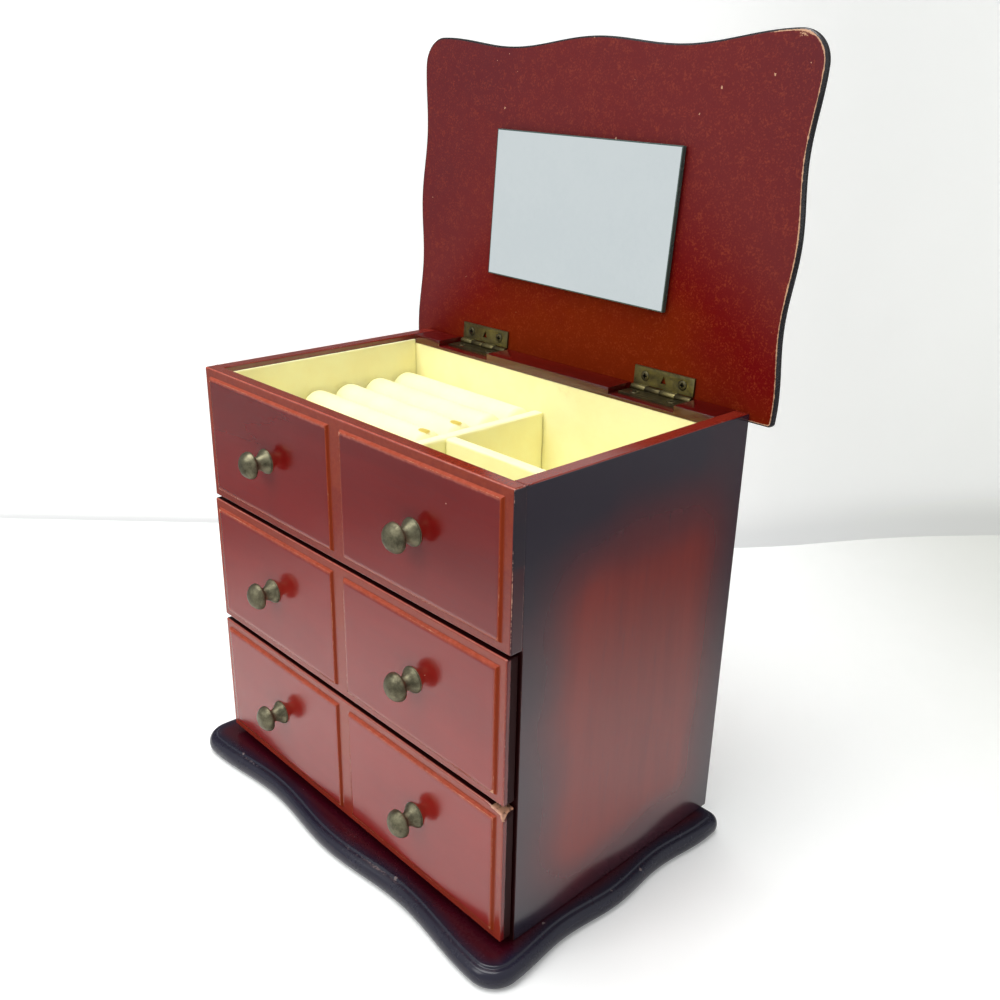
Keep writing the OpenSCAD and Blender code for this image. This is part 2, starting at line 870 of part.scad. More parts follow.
base_plinth();
side_panel_left();
side_panel_right();
back_panel();
hinge_rail();
top_front();
tray_board();
shelf_board();
case_floor();
plinth_screws();
lining_floor();
lining_left();
lining_right();
lining_front();
lining_back();
divider_long();
divider_short();
roll_block();
ring_rolls();
top_knob_left();
top_knob_right();
top_knob_screws();
hinge_left_case_leaf();
hinge_left_lid_leaf();
hinge_left_pin();
hinge_right_case_leaf();
hinge_right_lid_leaf();
hinge_right_pin();
hinge_case_screws();
hinge_lid_screws();
lid_panel();
mirror_glass();
mirror_tape();
mid_drawer_front();
mid_drawer_side_left();
mid_drawer_side_right();
mid_drawer_back();
mid_drawer_bottom();
mid_drawer_liner();
mid_knob_left();
mid_knob_right();
mid_knob_screws();
low_drawer_front();
low_drawer_side_left();
low_drawer_side_right();
low_drawer_back();
low_drawer_bottom();
low_drawer_liner();
low_knob_left();
low_knob_right();
low_knob_screws();
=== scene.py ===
"""Looks of a small vanity box: lacquered case, lined tray, mirrored lid and two drawers."""

import itertools
import json
import logging
import math
from collections.abc import Callable, Sequence
from dataclasses import dataclass, field
from enum import Enum

import bmesh
import bpy
import numpy as np
from mathutils import Matrix, Vector


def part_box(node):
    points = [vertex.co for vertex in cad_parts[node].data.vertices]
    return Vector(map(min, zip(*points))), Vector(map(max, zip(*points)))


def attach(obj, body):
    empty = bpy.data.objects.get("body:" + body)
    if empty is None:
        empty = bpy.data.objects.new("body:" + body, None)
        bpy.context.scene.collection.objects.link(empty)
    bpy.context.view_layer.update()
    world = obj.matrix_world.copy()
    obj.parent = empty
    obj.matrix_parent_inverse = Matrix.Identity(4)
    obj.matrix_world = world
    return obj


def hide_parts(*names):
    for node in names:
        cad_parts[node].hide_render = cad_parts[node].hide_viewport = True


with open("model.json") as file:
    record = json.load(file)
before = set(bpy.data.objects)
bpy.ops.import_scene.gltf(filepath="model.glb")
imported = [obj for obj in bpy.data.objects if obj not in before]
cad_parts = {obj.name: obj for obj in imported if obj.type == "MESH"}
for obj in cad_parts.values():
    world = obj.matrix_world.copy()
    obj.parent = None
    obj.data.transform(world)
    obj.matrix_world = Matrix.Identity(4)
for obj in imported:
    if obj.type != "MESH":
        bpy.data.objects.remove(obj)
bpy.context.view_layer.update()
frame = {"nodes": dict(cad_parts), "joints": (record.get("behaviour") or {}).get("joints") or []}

log = logging.getLogger("vanity_box")

Colour = tuple[float, float, float, float]
Feed = float | tuple[float, ...] | bpy.types.NodeSocket

MM = 0.001
# Edge distance, in millimetres, of a point with no edge near it.
FAR_FROM_EDGE = 9.0
# Points within this distance of an outer face lie on it.
SKIN = 0.0003
LID_JOINT = next(joint for joint in frame["joints"] if joint["name"] == "lid_hinge")
HINGE_AXIS = Vector(LID_JOINT["pos_m"])
LID_OPEN = math.radians(LID_JOINT["range_deg"][1])


class Body(Enum):
    """The rigid bodies that pieces ride on."""

    CASE = "case"
    LID = "lid"
    MID_DRAWER = "mid_drawer"
    LOW_DRAWER = "low_drawer"


class Slot(Enum):
    """The record's material slots named for the new pieces' finishes."""

    LACQUER = "lacquered_wood"
    PLINTH = "plinth_lacquer"
    VELVET = "velvet"
    PEWTER = "pewter"
    STEEL = "screw_steel"
    BRASS = "antique_brass"
    MIRROR = "mirror"
    BOARD = "raw_board"


# Surfaces.


def grid_quads(rows: int, cols: int, closed: bool = False) -> np.ndarray:
    """Joins the neighbours of a grid of points into quads.

    Args:
        rows: Number of rows of points.
        cols: Number of points in a row.
        closed: Whether the last column joins the first.

    Returns:
        An array of four point numbers per quad.
    """
    index = np.arange(rows * cols).reshape(rows, cols)
    if closed:
        index = np.hstack([index, index[:, :1]])
    corners = [index[:-1, :-1], index[:-1, 1:], index[1:, 1:], index[1:, :-1]]
    return np.stack(corners, -1).reshape(-1, 4)


def soft_noise(points: np.ndarray, size: float, seed: int) -> np.ndarray:
    """Smooth noise from -1 to 1.

    Formula: every corner of a lattice with cells of the given size has a random value, the fraction
    of a large sine of its number, and a point blends its cell's eight corners by 3t^2 - 2t^3.

    Args:
        points: Points as rows of three, in metres.
        size: Size of a lattice cell, in metres.
        seed: Number that picks one of many such noises.

    Returns:
        One value per point.
    """
    scaled = points / size + 1000.0 + 17.0 * seed
    cell = np.floor(scaled)
    part = eased(scaled - cell)
    total = np.zeros(len(points))
    for corner in itertools.product((0, 1), repeat=3):
        at = cell + corner
        wave = np.sin(at @ np.array([12.9898, 78.233, 37.719])) * 43758.5453
        weight = np.prod(np.where(corner, part, 1 - part), axis=1)
        total += weight * (wave - np.floor(wave))
    return total * 2 - 1


def eased(t: np.ndarray) -> np.ndarray:
    """The soft step 3t^2 - 2t^3 from 0 to 1."""
    return t * t * (3 - 2 * t)


def carry(mesh: bpy.types.Mesh, name: str, value: np.ndarray) -> None:
    """Gives the points of a mesh a named value that its material can read.

    Args:
        mesh: The mesh.
        name: Name of the value.
        value: One value per point.
    """
    layer = mesh.attributes.new(name, "FLOAT", "POINT")
    layer.data.foreach_set("value", value.astype(np.float32))


@dataclass
class Surface:
    """Points and faces of a piece, in metres, with values that its points carry."""

    points: np.ndarray
    faces: list[list[int]]
    values: dict[str, np.ndarray] = field(default_factory=dict)

    @classmethod
    def welded(
        cls, points: np.ndarray, quads: np.ndarray, values: dict[str, np.ndarray] | None = None
    ) -> "Surface":
        """Makes one surface of quads: points at one place become one, and empty faces go.

        Args:
            points: Points as rows of three.
            quads: Faces as rows of four point numbers.
            values: Named values per point.

        Returns:
            The closed surface.
        """
        same_place = 1e-7
        key = np.round(points / same_place).astype(np.int64)
        _, first, number = np.unique(key, axis=0, return_index=True, return_inverse=True)
        quads = number.reshape(-1)[quads]
        same = quads == np.roll(quads, -1, axis=1)
        whole = quads[~same.any(axis=1)]
        pinched = quads[same.sum(axis=1) == 1]
        drop = same[same.sum(axis=1) == 1].argmax(axis=1)
        keep = np.arange(4)[None, :] != drop[:, None]
        thirds = pinched[keep].reshape(-1, 3)
        carried = {name: value[first] for name, value in (values or {}).items()}
        return cls(points[first], whole.tolist() + thirds.tolist(), carried)

    def placed(self, matrix: Matrix) -> "Surface":
        """Moves every point by a matrix.

        Args:
            matrix: A 4 by 4 matrix.

        Returns:
            The moved surface.
        """
        m = np.array(matrix)
        return Surface(self.points @ m[:3, :3].T + m[:3, 3], self.faces, self.values)

    def piece(
        self,
        name: str,
        body: Body,
        slot: Slot,
        finish: bpy.types.Material,
        stands_for: Sequence[str] = (),
    ) -> bpy.types.Object:
        """Makes the surface a piece of the box.

        Args:
            name: Name of the piece.
            body: The body that it rides on.
            slot: The record's slot of its finish; not used.
            finish: Its material.
            stands_for: The CAD nodes that it replaces.

        Returns:
            The piece.
        """
        mesh = bpy.data.meshes.new(name)
        mesh.from_pydata(self.points.tolist(), [], self.faces)
        for key, value in self.values.items():
            carry(mesh, key, value)
        shell = bmesh.new()
        shell.from_mesh(mesh)
        bmesh.ops.recalc_face_normals(shell, faces=shell.faces)
        shell.to_mesh(mesh)
        shell.free()
        mesh.polygons.foreach_set("use_smooth", np.ones(len(mesh.polygons), bool))
        return fitted(bpy.data.objects.new(name, mesh), body, finish, stands_for)


def fitted(
    piece: bpy.types.Object,
    body: Body,
    finish: bpy.types.Material,
    stands_for: Sequence[str],
) -> bpy.types.Object:
    """Puts a new piece in the scene, dresses it and fixes it to its body.

    Args:
        piece: The new object.
        body: The body that it rides on.
        finish: Its material.
        stands_for: The CAD nodes that it replaces.

    Returns:
        The piece.
    """
    bpy.context.scene.collection.objects.link(piece)
    piece.data.materials.clear()
    piece.data.materials.append(finish)
    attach(piece, body.value)
    if stands_for:
        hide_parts(*stands_for)
    log.info("%s: %d faces, on %s", piece.name, len(piece.data.polygons), body.value)
    return piece


def softened(
    node: str,
    body: Body,
    finish: bpy.types.Material,
    width: float,
    dirt_and_shade_at: Callable[[np.ndarray], np.ndarray] | None = None,
) -> bpy.types.Object:
    """Copies a CAD node and takes the sharpness off its edges.

    Args:
        node: The CAD node.
        body: The body that it rides on.
        finish: Its material.
        width: Width of the bevel on its edges, in metres.
        dirt_and_shade_at: Says of points how dark dirt and painted shade make them, from 0 to 1.

    Returns:
        The piece, which stands for the node.
    """
    mesh = frame["nodes"][node].data.copy()
    shell = bmesh.new()
    shell.from_mesh(mesh)
    bmesh.ops.remove_doubles(shell, verts=shell.verts, dist=2e-6)
    flat = math.radians(1)
    bmesh.ops.dissolve_limit(shell, angle_limit=flat, verts=shell.verts, edges=shell.edges)
    bmesh.ops.recalc_face_normals(shell, faces=shell.faces)
    shell.to_mesh(mesh)
    shell.free()
    mesh.polygons.foreach_set("use_smooth", np.ones(len(mesh.polygons), bool))
    carry(mesh, "edge", np.full(len(mesh.vertices), FAR_FROM_EDGE))
    if dirt_and_shade_at:
        points = np.empty(3 * len(mesh.vertices), np.float32)
        mesh.vertices.foreach_get("co", points)
        carry(mesh, "dirt_and_shade", dirt_and_shade_at(points.reshape(-1, 3)))
    piece = bpy.data.objects.new(node + "_eased", mesh)
    bevel = piece.modifiers.new("eased_edges", "BEVEL")
    bevel.width = width
    bevel.segments = 2
    bevel.limit_method = "ANGLE"
    bevel.angle_limit = math.radians(40)
    bevel.harden_normals = True
    return fitted(piece, body, finish, [node])


def dressed(node: str, finish: bpy.types.Material) -> None:
    """Gives a CAD node that stays its material.

    Args:
        node: The CAD node.
        finish: Its material.
    """
    mesh = frame["nodes"][node].data
    mesh.materials.clear()
    mesh.materials.append(finish)
    log.info("%s: dressed", node)


def axis_lines(
    low: float, high: float, radius: float, step: float, extra: Sequence[float]
) -> np.ndarray:
    """Lines of a rounded box along one axis.

    Formula: within the radius at each end the lines stand at the tangents of even angles up to 45
    degrees, so that the rounding gets even steps. One more line keeps the flat beside it flat.

    Args:
        low: Lower end.
        high: Upper end.
        radius: Radius of the edges.
        step: Distance of the lines between.
        extra: More lines that the flat needs.

    Returns:
        The sorted lines.
    """
    tangents = np.tan(np.linspace(0, math.pi / 4, 4)) * radius
    inner = (low + radius, high - radius)
    count = max(2, round((inner[1] - inner[0]) / step) + 1)
    guard = (inner[0] + radius * 0.2, inner[1] - radius * 0.2)
    own = [x for x in (*extra, *guard) if inner[0] + 1e-6 < x < inner[1] - 1e-6]
    middle = np.union1d(np.linspace(*inner, count), own)
    middle = middle[np.append(True, np.diff(middle) > 2e-6)]
    return np.concatenate([inner[0] - tangents[:0:-1], middle, inner[1] + tangents[1:]])


def rounded_box(
    low: Sequence[float],
    high: Sequence[float],
    radius: float,
    step: float,
    extra: Sequence[Sequence[float]] = ((), (), ()),
) -> Surface:
    """A box with rounded edges, its points carrying how far they are from the nearest edge.

    Formula: each point of the sharp box is moved to the ball of the radius round the nearest point
    of the box that is smaller by the radius on every side.

    Args:
        low: Lowest corner.
        high: Highest corner.
        radius: Radius of the edges.
        step: Distance of the grid's lines.
        extra: More lines along each axis.

    Returns:
        The closed box. Its value "edge" is in millimetres.
    """
    low, high = np.array(low, float), np.array(high, float)
    radius = min(radius, 0.45 * (high - low).min())
    lines = [axis_lines(low[a], high[a], radius, step, extra[a]) for a in range(3)]
    points, quads, shift = [], [], 0
    for axis, side in itertools.product(range(3), (low, high)):
        across = [a for a in range(3) if a != axis]
        sheet = np.meshgrid(lines[across[0]], lines[across[1]], indexing="ij")
        face = np.full(sheet[0].shape + (3,), side[axis])
        face[..., across[0]], face[..., across[1]] = sheet
        quads.append(grid_quads(*sheet[0].shape) + shift)
        points.append(face.reshape(-1, 3))
        shift += sheet[0].size
    sharp = np.vstack(points)
    core = np.clip(sharp, low + radius, high - radius)
    out = sharp - core
    round_points = core + radius * out / np.linalg.norm(out, axis=1, keepdims=True)
    reach = np.sort(np.minimum(sharp - low, high - sharp), axis=1)[:, 1]
    return Surface.welded(round_points, np.vstack(quads), {"edge": reach / MM})


def turned(profile: Sequence[tuple[float, float]], steps: int, smooth: int = 4) -> Surface:
    """A solid of revolution round the Z axis.

    Formula: the profile's radius and height are made finer by a curve through its points, and each
    is carried round the axis in even steps.

    Args:
        profile: Radius and height pairs from the bottom to the top, in metres.
        steps: Number of steps round the axis.
        smooth: Number of parts that each stretch of the profile is cut into.

    Returns:
        The closed solid, with its "edge" value far from any edge.
    """
    line = through(np.array(profile, float), smooth)
    angle = np.linspace(0, 2 * math.pi, steps, endpoint=False)
    radius, height = np.clip(line[:, :1], 0, None), line[:, 1:]
    points = np.stack(
        [radius * np.cos(angle), radius * np.sin(angle), height + 0 * angle], axis=-1
    )
    quads = grid_quads(len(line), steps, closed=True)
    flat = points.reshape(-1, 3)
    return Surface.welded(flat, quads, {"edge": np.full(len(flat), FAR_FROM_EDGE)})


def through(points: np.ndarray, parts: int) -> np.ndarray:
    """A finer line through points, each stretch a cubic curve of four neighbours.

    Formula: between two points the line is half of 2b + (c - a)t + (2a - 5b + 4c - d)t^2 +
    (3b - a - 3c + d)t^3, with a to d the four neighbours.

    Args:
        points: The points of the coarse line.
        parts: Number of parts of each stretch.

    Returns:
        The points of the fine line.
    """
    if parts < 2:
        return points
    padded = np.vstack([points[:1], points, points[-1:]])
    a, b, c, d = padded[:-3], padded[1:-2], padded[2:-1], padded[3:]
    t = (np.arange(parts) / parts)[None, :, None]
    a, b, c, d = (v[:, None, :] for v in (a, b, c, d))
    curve = 0.5 * (
        2 * b + (c - a) * t + (2 * a - 5 * b + 4 * c - d) * t**2 + (3 * b - a - 3 * c + d) * t**3
    )
    return np.vstack([curve.reshape(-1, points.shape[1]), points[-1:]])


# Finishes.


def rgb(red: int, green: int, blue: int) -> Colour:
    """Turns a colour as a screen shows it to the renderer's linear values.

    Args:
        red: Red from 0 to 255.
        green: Green from 0 to 255.
        blue: Blue from 0 to 255.

    Returns:
        The linear colour, not see-through.
    """
    part = [c / 255 for c in (red, green, blue)]
    line = [c / 12.92 if c <= 0.04045 else ((c + 0.055) / 1.055) ** 2.4 for c in part]
    return (*line, 1.0)


class Nodes:
    """Places and joins the nodes of a material or of a node group."""

    def __init__(self, tree: bpy.types.NodeTree) -> None:
        """Starts on an empty node tree."""
        self.tree = tree
        self.tree.nodes.clear()

    def feed(self, node: bpy.types.Node, feeds: dict[str | int, Feed]) -> bpy.types.Node:
        """Feeds the inputs of a node.

        Args:
            node: The node.
            feeds: Value or source socket by the name or the number of an input.

        Returns:
            The node.
        """
        for key, value in feeds.items():
            if isinstance(value, bpy.types.NodeSocket):
                self.tree.links.new(value, node.inputs[key])
            else:
                node.inputs[key].default_value = value
        return node

    def add(
        self, kind: str, feeds: dict[str | int, Feed] | None = None, **settings: object
    ) -> bpy.types.Node:
        """Adds one node.

        Args:
            kind: Type name of the node.
            feeds: Value or source socket by the name or the number of an input.
            settings: Properties of the node.

        Returns:
            The node.
        """
        node = self.tree.nodes.new(kind)
        for name, value in settings.items():
            setattr(node, name, value)
        return self.feed(node, feeds or {})

    def reckon(
        self, operation: str, first: Feed, second: Feed = 0.0, third: Feed = 0.0
    ) -> bpy.types.NodeSocket:
        """Works out one step of arithmetic.

        Args:
            operation: Name of the step.
            first: First value or socket.
            second: Second value or socket.
            third: Third value or socket.

        Returns:
            The socket of the result.
        """
        feeds = {0: first, 1: second, 2: third}
        return self.add("ShaderNodeMath", feeds, operation=operation).outputs[0]

    def ramp(
        self, value: Feed, low: float, high: float, bottom: float = 0.0, top: float = 1.0
    ) -> bpy.types.NodeSocket:
        """Carries a value from one span to another with soft ends.

        Args:
            value: The value or its socket.
            low: Where the rise starts.
            high: Where it ends.
            bottom: Result up to the start.
            top: Result from the end on.

        Returns:
            The socket of the result.
        """
        feeds = {"Value": value, "From Min": low, "From Max": high, "To Min": bottom, "To Max": top}
        node = self.add("ShaderNodeMapRange", feeds, interpolation_type="SMOOTHSTEP")
        return node.outputs["Result"]

    def mix(self, share: Feed, first: Feed, second: Feed) -> bpy.types.NodeSocket:
        """Mixes two colours.

        Args:
            share: Share of the second, from 0 to 1, or its socket.
            first: First colour or socket.
            second: Second colour or socket.

        Returns:
            The socket of the result.
        """
        node = self.add("ShaderNodeMix", data_type="RGBA", clamp_factor=True)
        return self.feed(node, {0: share, 6: first, 7: second}).outputs[2]

    def noise(
        self, place: Feed, scale: Feed, detail: float = 3.0, rough: float = 0.5
    ) -> bpy.types.NodeSocket:
        """Adds noise.

        Args:
            place: The place it is read at.
            scale: Waves per metre, or their socket.
            detail: Number of finer layers.
            rough: Weight of each finer layer.

        Returns:
            The socket of the noise, from 0 to 1.
        """
        feeds = {"Vector": place, "Scale": scale, "Detail": detail, "Roughness": rough}
        return self.add("ShaderNodeTexNoise", feeds).outputs["Fac"]

    def swing(
        self, value: bpy.types.NodeSocket, width: float, low: float | None = None
    ) -> bpy.types.NodeSocket:
        """Widens a value from 0 to 1 to one of the given width, even about 0 or from a low end.

        Args:
            value: Socket of the value.
            width: Width of the result.
            low: Low end of the result, or nothing for minus half the width.

        Returns:
            The socket of the result.
        """
        return self.reckon("MULTIPLY_ADD", value, width, -width / 2 if low is None else low)

    def weighed(self, first: Feed, second: Feed, share: float) -> bpy.types.NodeSocket:
        """Weighs two values, the first by its share and the second by the rest.

        Args:
            first: First value or socket.
            second: Second value or socket.
            share: Share of the first, from 0 to 1.

        Returns:
            The socket of the result.
        """
        rest = self.reckon("MULTIPLY", second, 1 - share)
        return self.reckon("MULTIPLY_ADD", first, share, rest)

    def stretched(
        self, place: bpy.types.NodeSocket, scale: tuple[float, float, float]
    ) -> bpy.types.NodeSocket:
        """Scales a place along each axis.

        Args:
            place: Socket of the place.
            scale: Factor along each axis.

        Returns:
            The socket of the scaled place.
        """
        feeds = {0: place, 1: scale}
        return self.add("ShaderNodeVectorMath", feeds, operation="MULTIPLY").outputs[0]

    def carried(self, name: str) -> bpy.types.NodeSocket:
        """Reads a value that the piece's points carry."""
        node = self.add("ShaderNodeAttribute", attribute_name=name, attribute_type="GEOMETRY")
        return node.outputs["Fac"]

    def object_place(self) -> bpy.types.NodeSocket:
        """Reads the place on the object in metres."""
        return self.add("ShaderNodeTexCoord").outputs["Object"]

    def effect(self, group: bpy.types.NodeTree, **feeds: Feed) -> bpy.types.Node:
        """Places a shared effect.

        Args:
            group: The effect's node group.
            feeds: Value or socket by input name.

        Returns:
            The group's node.
        """
        return self.feed(self.add("ShaderNodeGroup", node_tree=group), feeds)


def effect_group(
    name: str, takes: dict[str, float | None], gives: Sequence[str]
) -> tuple[Nodes, bpy.types.Node, bpy.types.Node]:
    """Starts a shared effect.

    Args:
        name: Name of the group.
        takes: Default value by input name, or None for a place.
        gives: Names of the values that it puts out.

    Returns:
        Its nodes, its input node and its output node.
    """
    tree = bpy.data.node_groups.new(name, "ShaderNodeTree")
    for key, value in takes.items():
        kind = "NodeSocketVector" if value is None else "NodeSocketFloat"
        socket = tree.interface.new_socket(key, in_out="INPUT", socket_type=kind)
        if value is not None:
            socket.default_value = value
    for key in gives:
        tree.interface.new_socket(key, in_out="OUTPUT", socket_type="NodeSocketFloat")
    nodes = Nodes(tree)
    return nodes, nodes.add("NodeGroupInput"), nodes.add("NodeGroupOutput")


class Effects:
    """The effects that several finishes share."""

    def __init__(self) -> None:
        """Builds each effect once."""
        self.wear = self.build_wear()
        self.grain = self.build_grain()
        self.nicks = self.build_nicks()
        self.smudge = self.build_smudge()

    def build_wear(self) -> bpy.types.NodeTree:
        """Ragged wear along edges: 1 where the edge is nearer than a width that noise varies.

        Returns:
            The node group.
        """
        takes = {"Place": None, "Edge": FAR_FROM_EDGE, "Width": 0.5, "Amount": 0.5, "Scale": 900.0}
        nodes, given, out = effect_group("edge_wear", takes, ["Mask"])
        place = given.outputs["Place"]
        fine = nodes.noise(place, given.outputs["Scale"], detail=6.0, rough=0.65)
        broad = nodes.noise(place, 45.0, detail=2.0)
        part = nodes.reckon("MULTIPLY_ADD", broad, 0.9, nodes.reckon("MULTIPLY", fine, 0.9))
        limit = nodes.reckon("ADD", part, nodes.reckon("SUBTRACT", given.outputs["Amount"], 1.4))
        reach = nodes.reckon("DIVIDE", given.outputs["Edge"], given.outputs["Width"])
        mask = nodes.ramp(nodes.reckon("SUBTRACT", limit, reach), -0.1, 0.1)
        nodes.tree.links.new(mask, out.inputs["Mask"])
        return nodes.tree

    def build_grain(self) -> bpy.types.NodeTree:
        """Wood grain: long streaks of noise, given a place already squeezed along the grain.

        Returns:
            The node group.
        """
        takes = {"Place": None, "Scale": 60.0}
        nodes, given, out = effect_group("wood_grain", takes, ["Streaks", "Pores"])
        place, scale = given.outputs["Place"], given.outputs["Scale"]
        warp = nodes.noise(place, nodes.reckon("MULTIPLY", scale, 0.25), detail=2.0)
        streaks = nodes.noise(place, scale, detail=5.0, rough=0.6)
        both = nodes.weighed(warp, streaks, 0.45)
        pores = nodes.noise(place, nodes.reckon("MULTIPLY", scale, 9.0), detail=4.0, rough=0.7)
        nodes.tree.links.new(nodes.ramp(both, 0.34, 0.66), out.inputs["Streaks"])
        nodes.tree.links.new(nodes.ramp(pores, 0.55, 0.72), out.inputs["Pores"])
        return nodes.tree

    def build_nicks(self) -> bpy.types.NodeTree:
        """Small nicks: specks round the points of a scatter, of which a share is kept.

        Returns:
            The node group.
        """
        takes = {"Place": None, "Scale": 150.0, "Share": 0.1, "Size": 0.12}
        nodes, given, out = effect_group("nicks", takes, ["Mask"])
        place = given.outputs["Place"]
        blur = nodes.add("ShaderNodeTexNoise", {"Vector": place, "Scale": 1800.0})
        bend = {0: blur.outputs["Color"], 1: (0.0012, 0.0012, 0.0012), 2: place}
        bent = nodes.add("ShaderNodeVectorMath", bend, operation="MULTIPLY_ADD")
        feeds = {"Vector": bent.outputs[0], "Scale": given.outputs["Scale"]}
        spots = nodes.add("ShaderNodeTexVoronoi", feeds)
        pick = nodes.add("ShaderNodeSeparateColor", {0: spots.outputs["Color"]})
        chosen = nodes.reckon("LESS_THAN", pick.outputs[0], given.outputs["Share"])
        spread = nodes.reckon("ADD", pick.outputs[1], 0.3)
        size = nodes.reckon("MULTIPLY", given.outputs["Size"], spread)
        near = nodes.reckon("LESS_THAN", spots.outputs["Distance"], size)
        nodes.tree.links.new(nodes.reckon("MULTIPLY", chosen, near), out.inputs["Mask"])
        return nodes.tree

    def build_smudge(self) -> bpy.types.NodeTree:
        """Handling marks: broad and fine noise together, for roughness.

        Returns:
            The node group.
        """
        takes = {"Place": None, "Scale": 30.0}
        nodes, given, out = effect_group("smudge", takes, ["Value"])
        place, scale = given.outputs["Place"], given.outputs["Scale"]
        broad = nodes.noise(place, scale, detail=3.0, rough=0.6)
        fine = nodes.noise(place, nodes.reckon("MULTIPLY", scale, 14.0), detail=5.0, rough=0.7)
        both = nodes.weighed(broad, fine, 0.65)
        nodes.tree.links.new(nodes.ramp(both, 0.35, 0.65), out.inputs["Value"])
        return nodes.tree


def bare_material(name: str) -> tuple[bpy.types.Material, Nodes]:
    """Makes an empty material.

    Args:
        name: Name of the material.

    Returns:
        The material and its nodes.
    """
    material = bpy.data.materials.new(name)
    material.use_nodes = True
    return material, Nodes(material.node_tree)


def closed_with(
    nodes: Nodes,
    feeds: dict[str, Feed],
    height: bpy.types.NodeSocket | None = None,
    depth: float = 0.0,
    strength: float = 1.0,
) -> None:
    """Ends a material in its surface shader.

    Args:
        nodes: The material's nodes.
        feeds: Value or socket by input name of the shader.
        height: Socket of a relief from 0 to 1, or nothing.
        depth: Depth of the relief in metres.
        strength: Strength of the relief.
    """
    shader = nodes.add("ShaderNodeBsdfPrincipled", feeds)
    if height is not None:
        relief = {"Height": height, "Distance": depth, "Strength": strength}
        bump = nodes.add("ShaderNodeBump", relief)
        nodes.tree.links.new(bump.outputs["Normal"], shader.inputs["Normal"])
    nodes.add("ShaderNodeOutputMaterial", {"Surface": shader.outputs[0]})


@dataclass(frozen=True)
class Lacquer:
    """Glossy cherry lacquer on wood, with dark shading, worn edges and a few nicks, and with
    painted highlights, painted shade and a painted floor reflection.
    """

    name: str
    squeeze: tuple[float, float, float]
    deep: Colour = rgb(94, 3, 5)
    warm: Colour = rgb(112, 9, 7)
    shade: Colour = rgb(36, 30, 42)
    # Dark red-black for painted shade in gaps and on right-facing slopes.
    ember: Colour = rgb(36, 2, 3)
    amber: Colour = rgb(142, 52, 22)
    # Pale tone of painted highlights and worn varnish.
    wear_and_highlight: Colour = rgb(190, 96, 78)
    # Pale red of the painted floor reflection and hazy varnish.
    milky_reflection: Colour = rgb(168, 42, 32)
    worn: Colour = rgb(206, 150, 120)
    roughness: float = 0.15
    wear_width: float = 0.3
    wear_amount: float = 0.46
    nick_share: float = 0.02

    def made(self, effects: Effects) -> bpy.types.Material:
        """Builds the material.

        Args:
            effects: The shared effects.

        Returns:
            The material. Besides "edge" it reads its tones from the points: "halo" for the shade,
            "amber", a pale painted highlight with worn varnish, a dark painted shade, and a painted
            floor reflection with hazy varnish.
        """
        material, nodes = bare_material(self.name)
        place = nodes.object_place()
        along = nodes.stretched(place, self.squeeze)
        grain = nodes.effect(effects.grain, Place=along, Scale=70.0)
        colour = nodes.mix(grain.outputs["Streaks"], self.deep, self.warm)
        pores = nodes.reckon("MULTIPLY", grain.outputs["Pores"], 0.14)
        colour = nodes.mix(pores, colour, self.shade)
        drift = nodes.swing(nodes.noise(place, 42.0), 0.16)
        cloud = nodes.ramp(drift, -0.05, 0.05, 0.75, 1.0)
        # Painted floor reflection, partly hazy varnish: a pale red veil, as much as the points
        # carry.
        haze_and_reflection = nodes.reckon("MULTIPLY", nodes.carried("haze_and_reflection"), cloud)
        colour = nodes.mix(haze_and_reflection, colour, self.milky_reflection)
        ragged = nodes.swing(nodes.noise(place, 700.0, detail=4.0, rough=0.7), 0.5)
        # The amber tone, then the pale tone of painted highlights and worn varnish.
        for tone, value in ((self.amber, "amber"), (self.wear_and_highlight, "wear_and_highlight")):
            share = nodes.reckon("ADD", nodes.carried(value), ragged)
            colour = nodes.mix(nodes.ramp(share, 0.2, 0.9), colour, tone)
        uneven = nodes.reckon("ADD", drift, nodes.swing(grain.outputs["Streaks"], 0.12))
        halo = nodes.reckon("ADD", nodes.carried("halo"), uneven)
        halo = nodes.reckon("MULTIPLY", halo, nodes.ramp(nodes.carried("halo"), 0.0, 0.45))
        colour = nodes.mix(halo, colour, self.shade)
        # Painted shade: dark red-black, and less glossy, in the gaps between parts and on
        # right-facing slopes, as much as the points carry.
        dark = nodes.ramp(nodes.reckon("ADD", nodes.carried("ember"), ragged), 0.35, 0.65)
        colour = nodes.mix(dark, colour, self.ember)
        wear = {"Edge": nodes.carried("edge"), "Width": self.wear_width, "Amount": self.wear_amount}
        worn = nodes.effect(effects.wear, Place=place, **wear)
        marks = {"Scale": 110.0, "Share": self.nick_share, "Size": 0.05}
        nick = nodes.effect(effects.nicks, Place=place, **marks)
        bare = nodes.reckon("MAXIMUM", worn.outputs["Mask"], nick.outputs["Mask"])
        colour = nodes.mix(bare, colour, self.worn)
        smudge = nodes.effect(effects.smudge, Place=place).outputs["Value"]
        rough = nodes.swing(smudge, 0.05, self.roughness)
        rough = nodes.reckon("MULTIPLY_ADD", nodes.reckon("MAXIMUM", bare, dark), 0.35, rough)
        dent = nodes.reckon("MULTIPLY", bare, -0.8)
        relief = nodes.reckon("MULTIPLY_ADD", grain.outputs["Streaks"], 0.12, dent)
        shine = nodes.ramp(nodes.carried("amber"), 0.6, 0.95, 0.82, 0.12)
        shine = nodes.reckon("MULTIPLY_ADD", dark, -0.7, shine)
        feeds = {
            "Base Color": colour,
            "Roughness": rough,
            "Specular IOR Level": nodes.reckon("MAXIMUM", shine, 0.1),
        }
        closed_with(nodes, feeds, relief, depth=0.00005, strength=0.4)
        return material


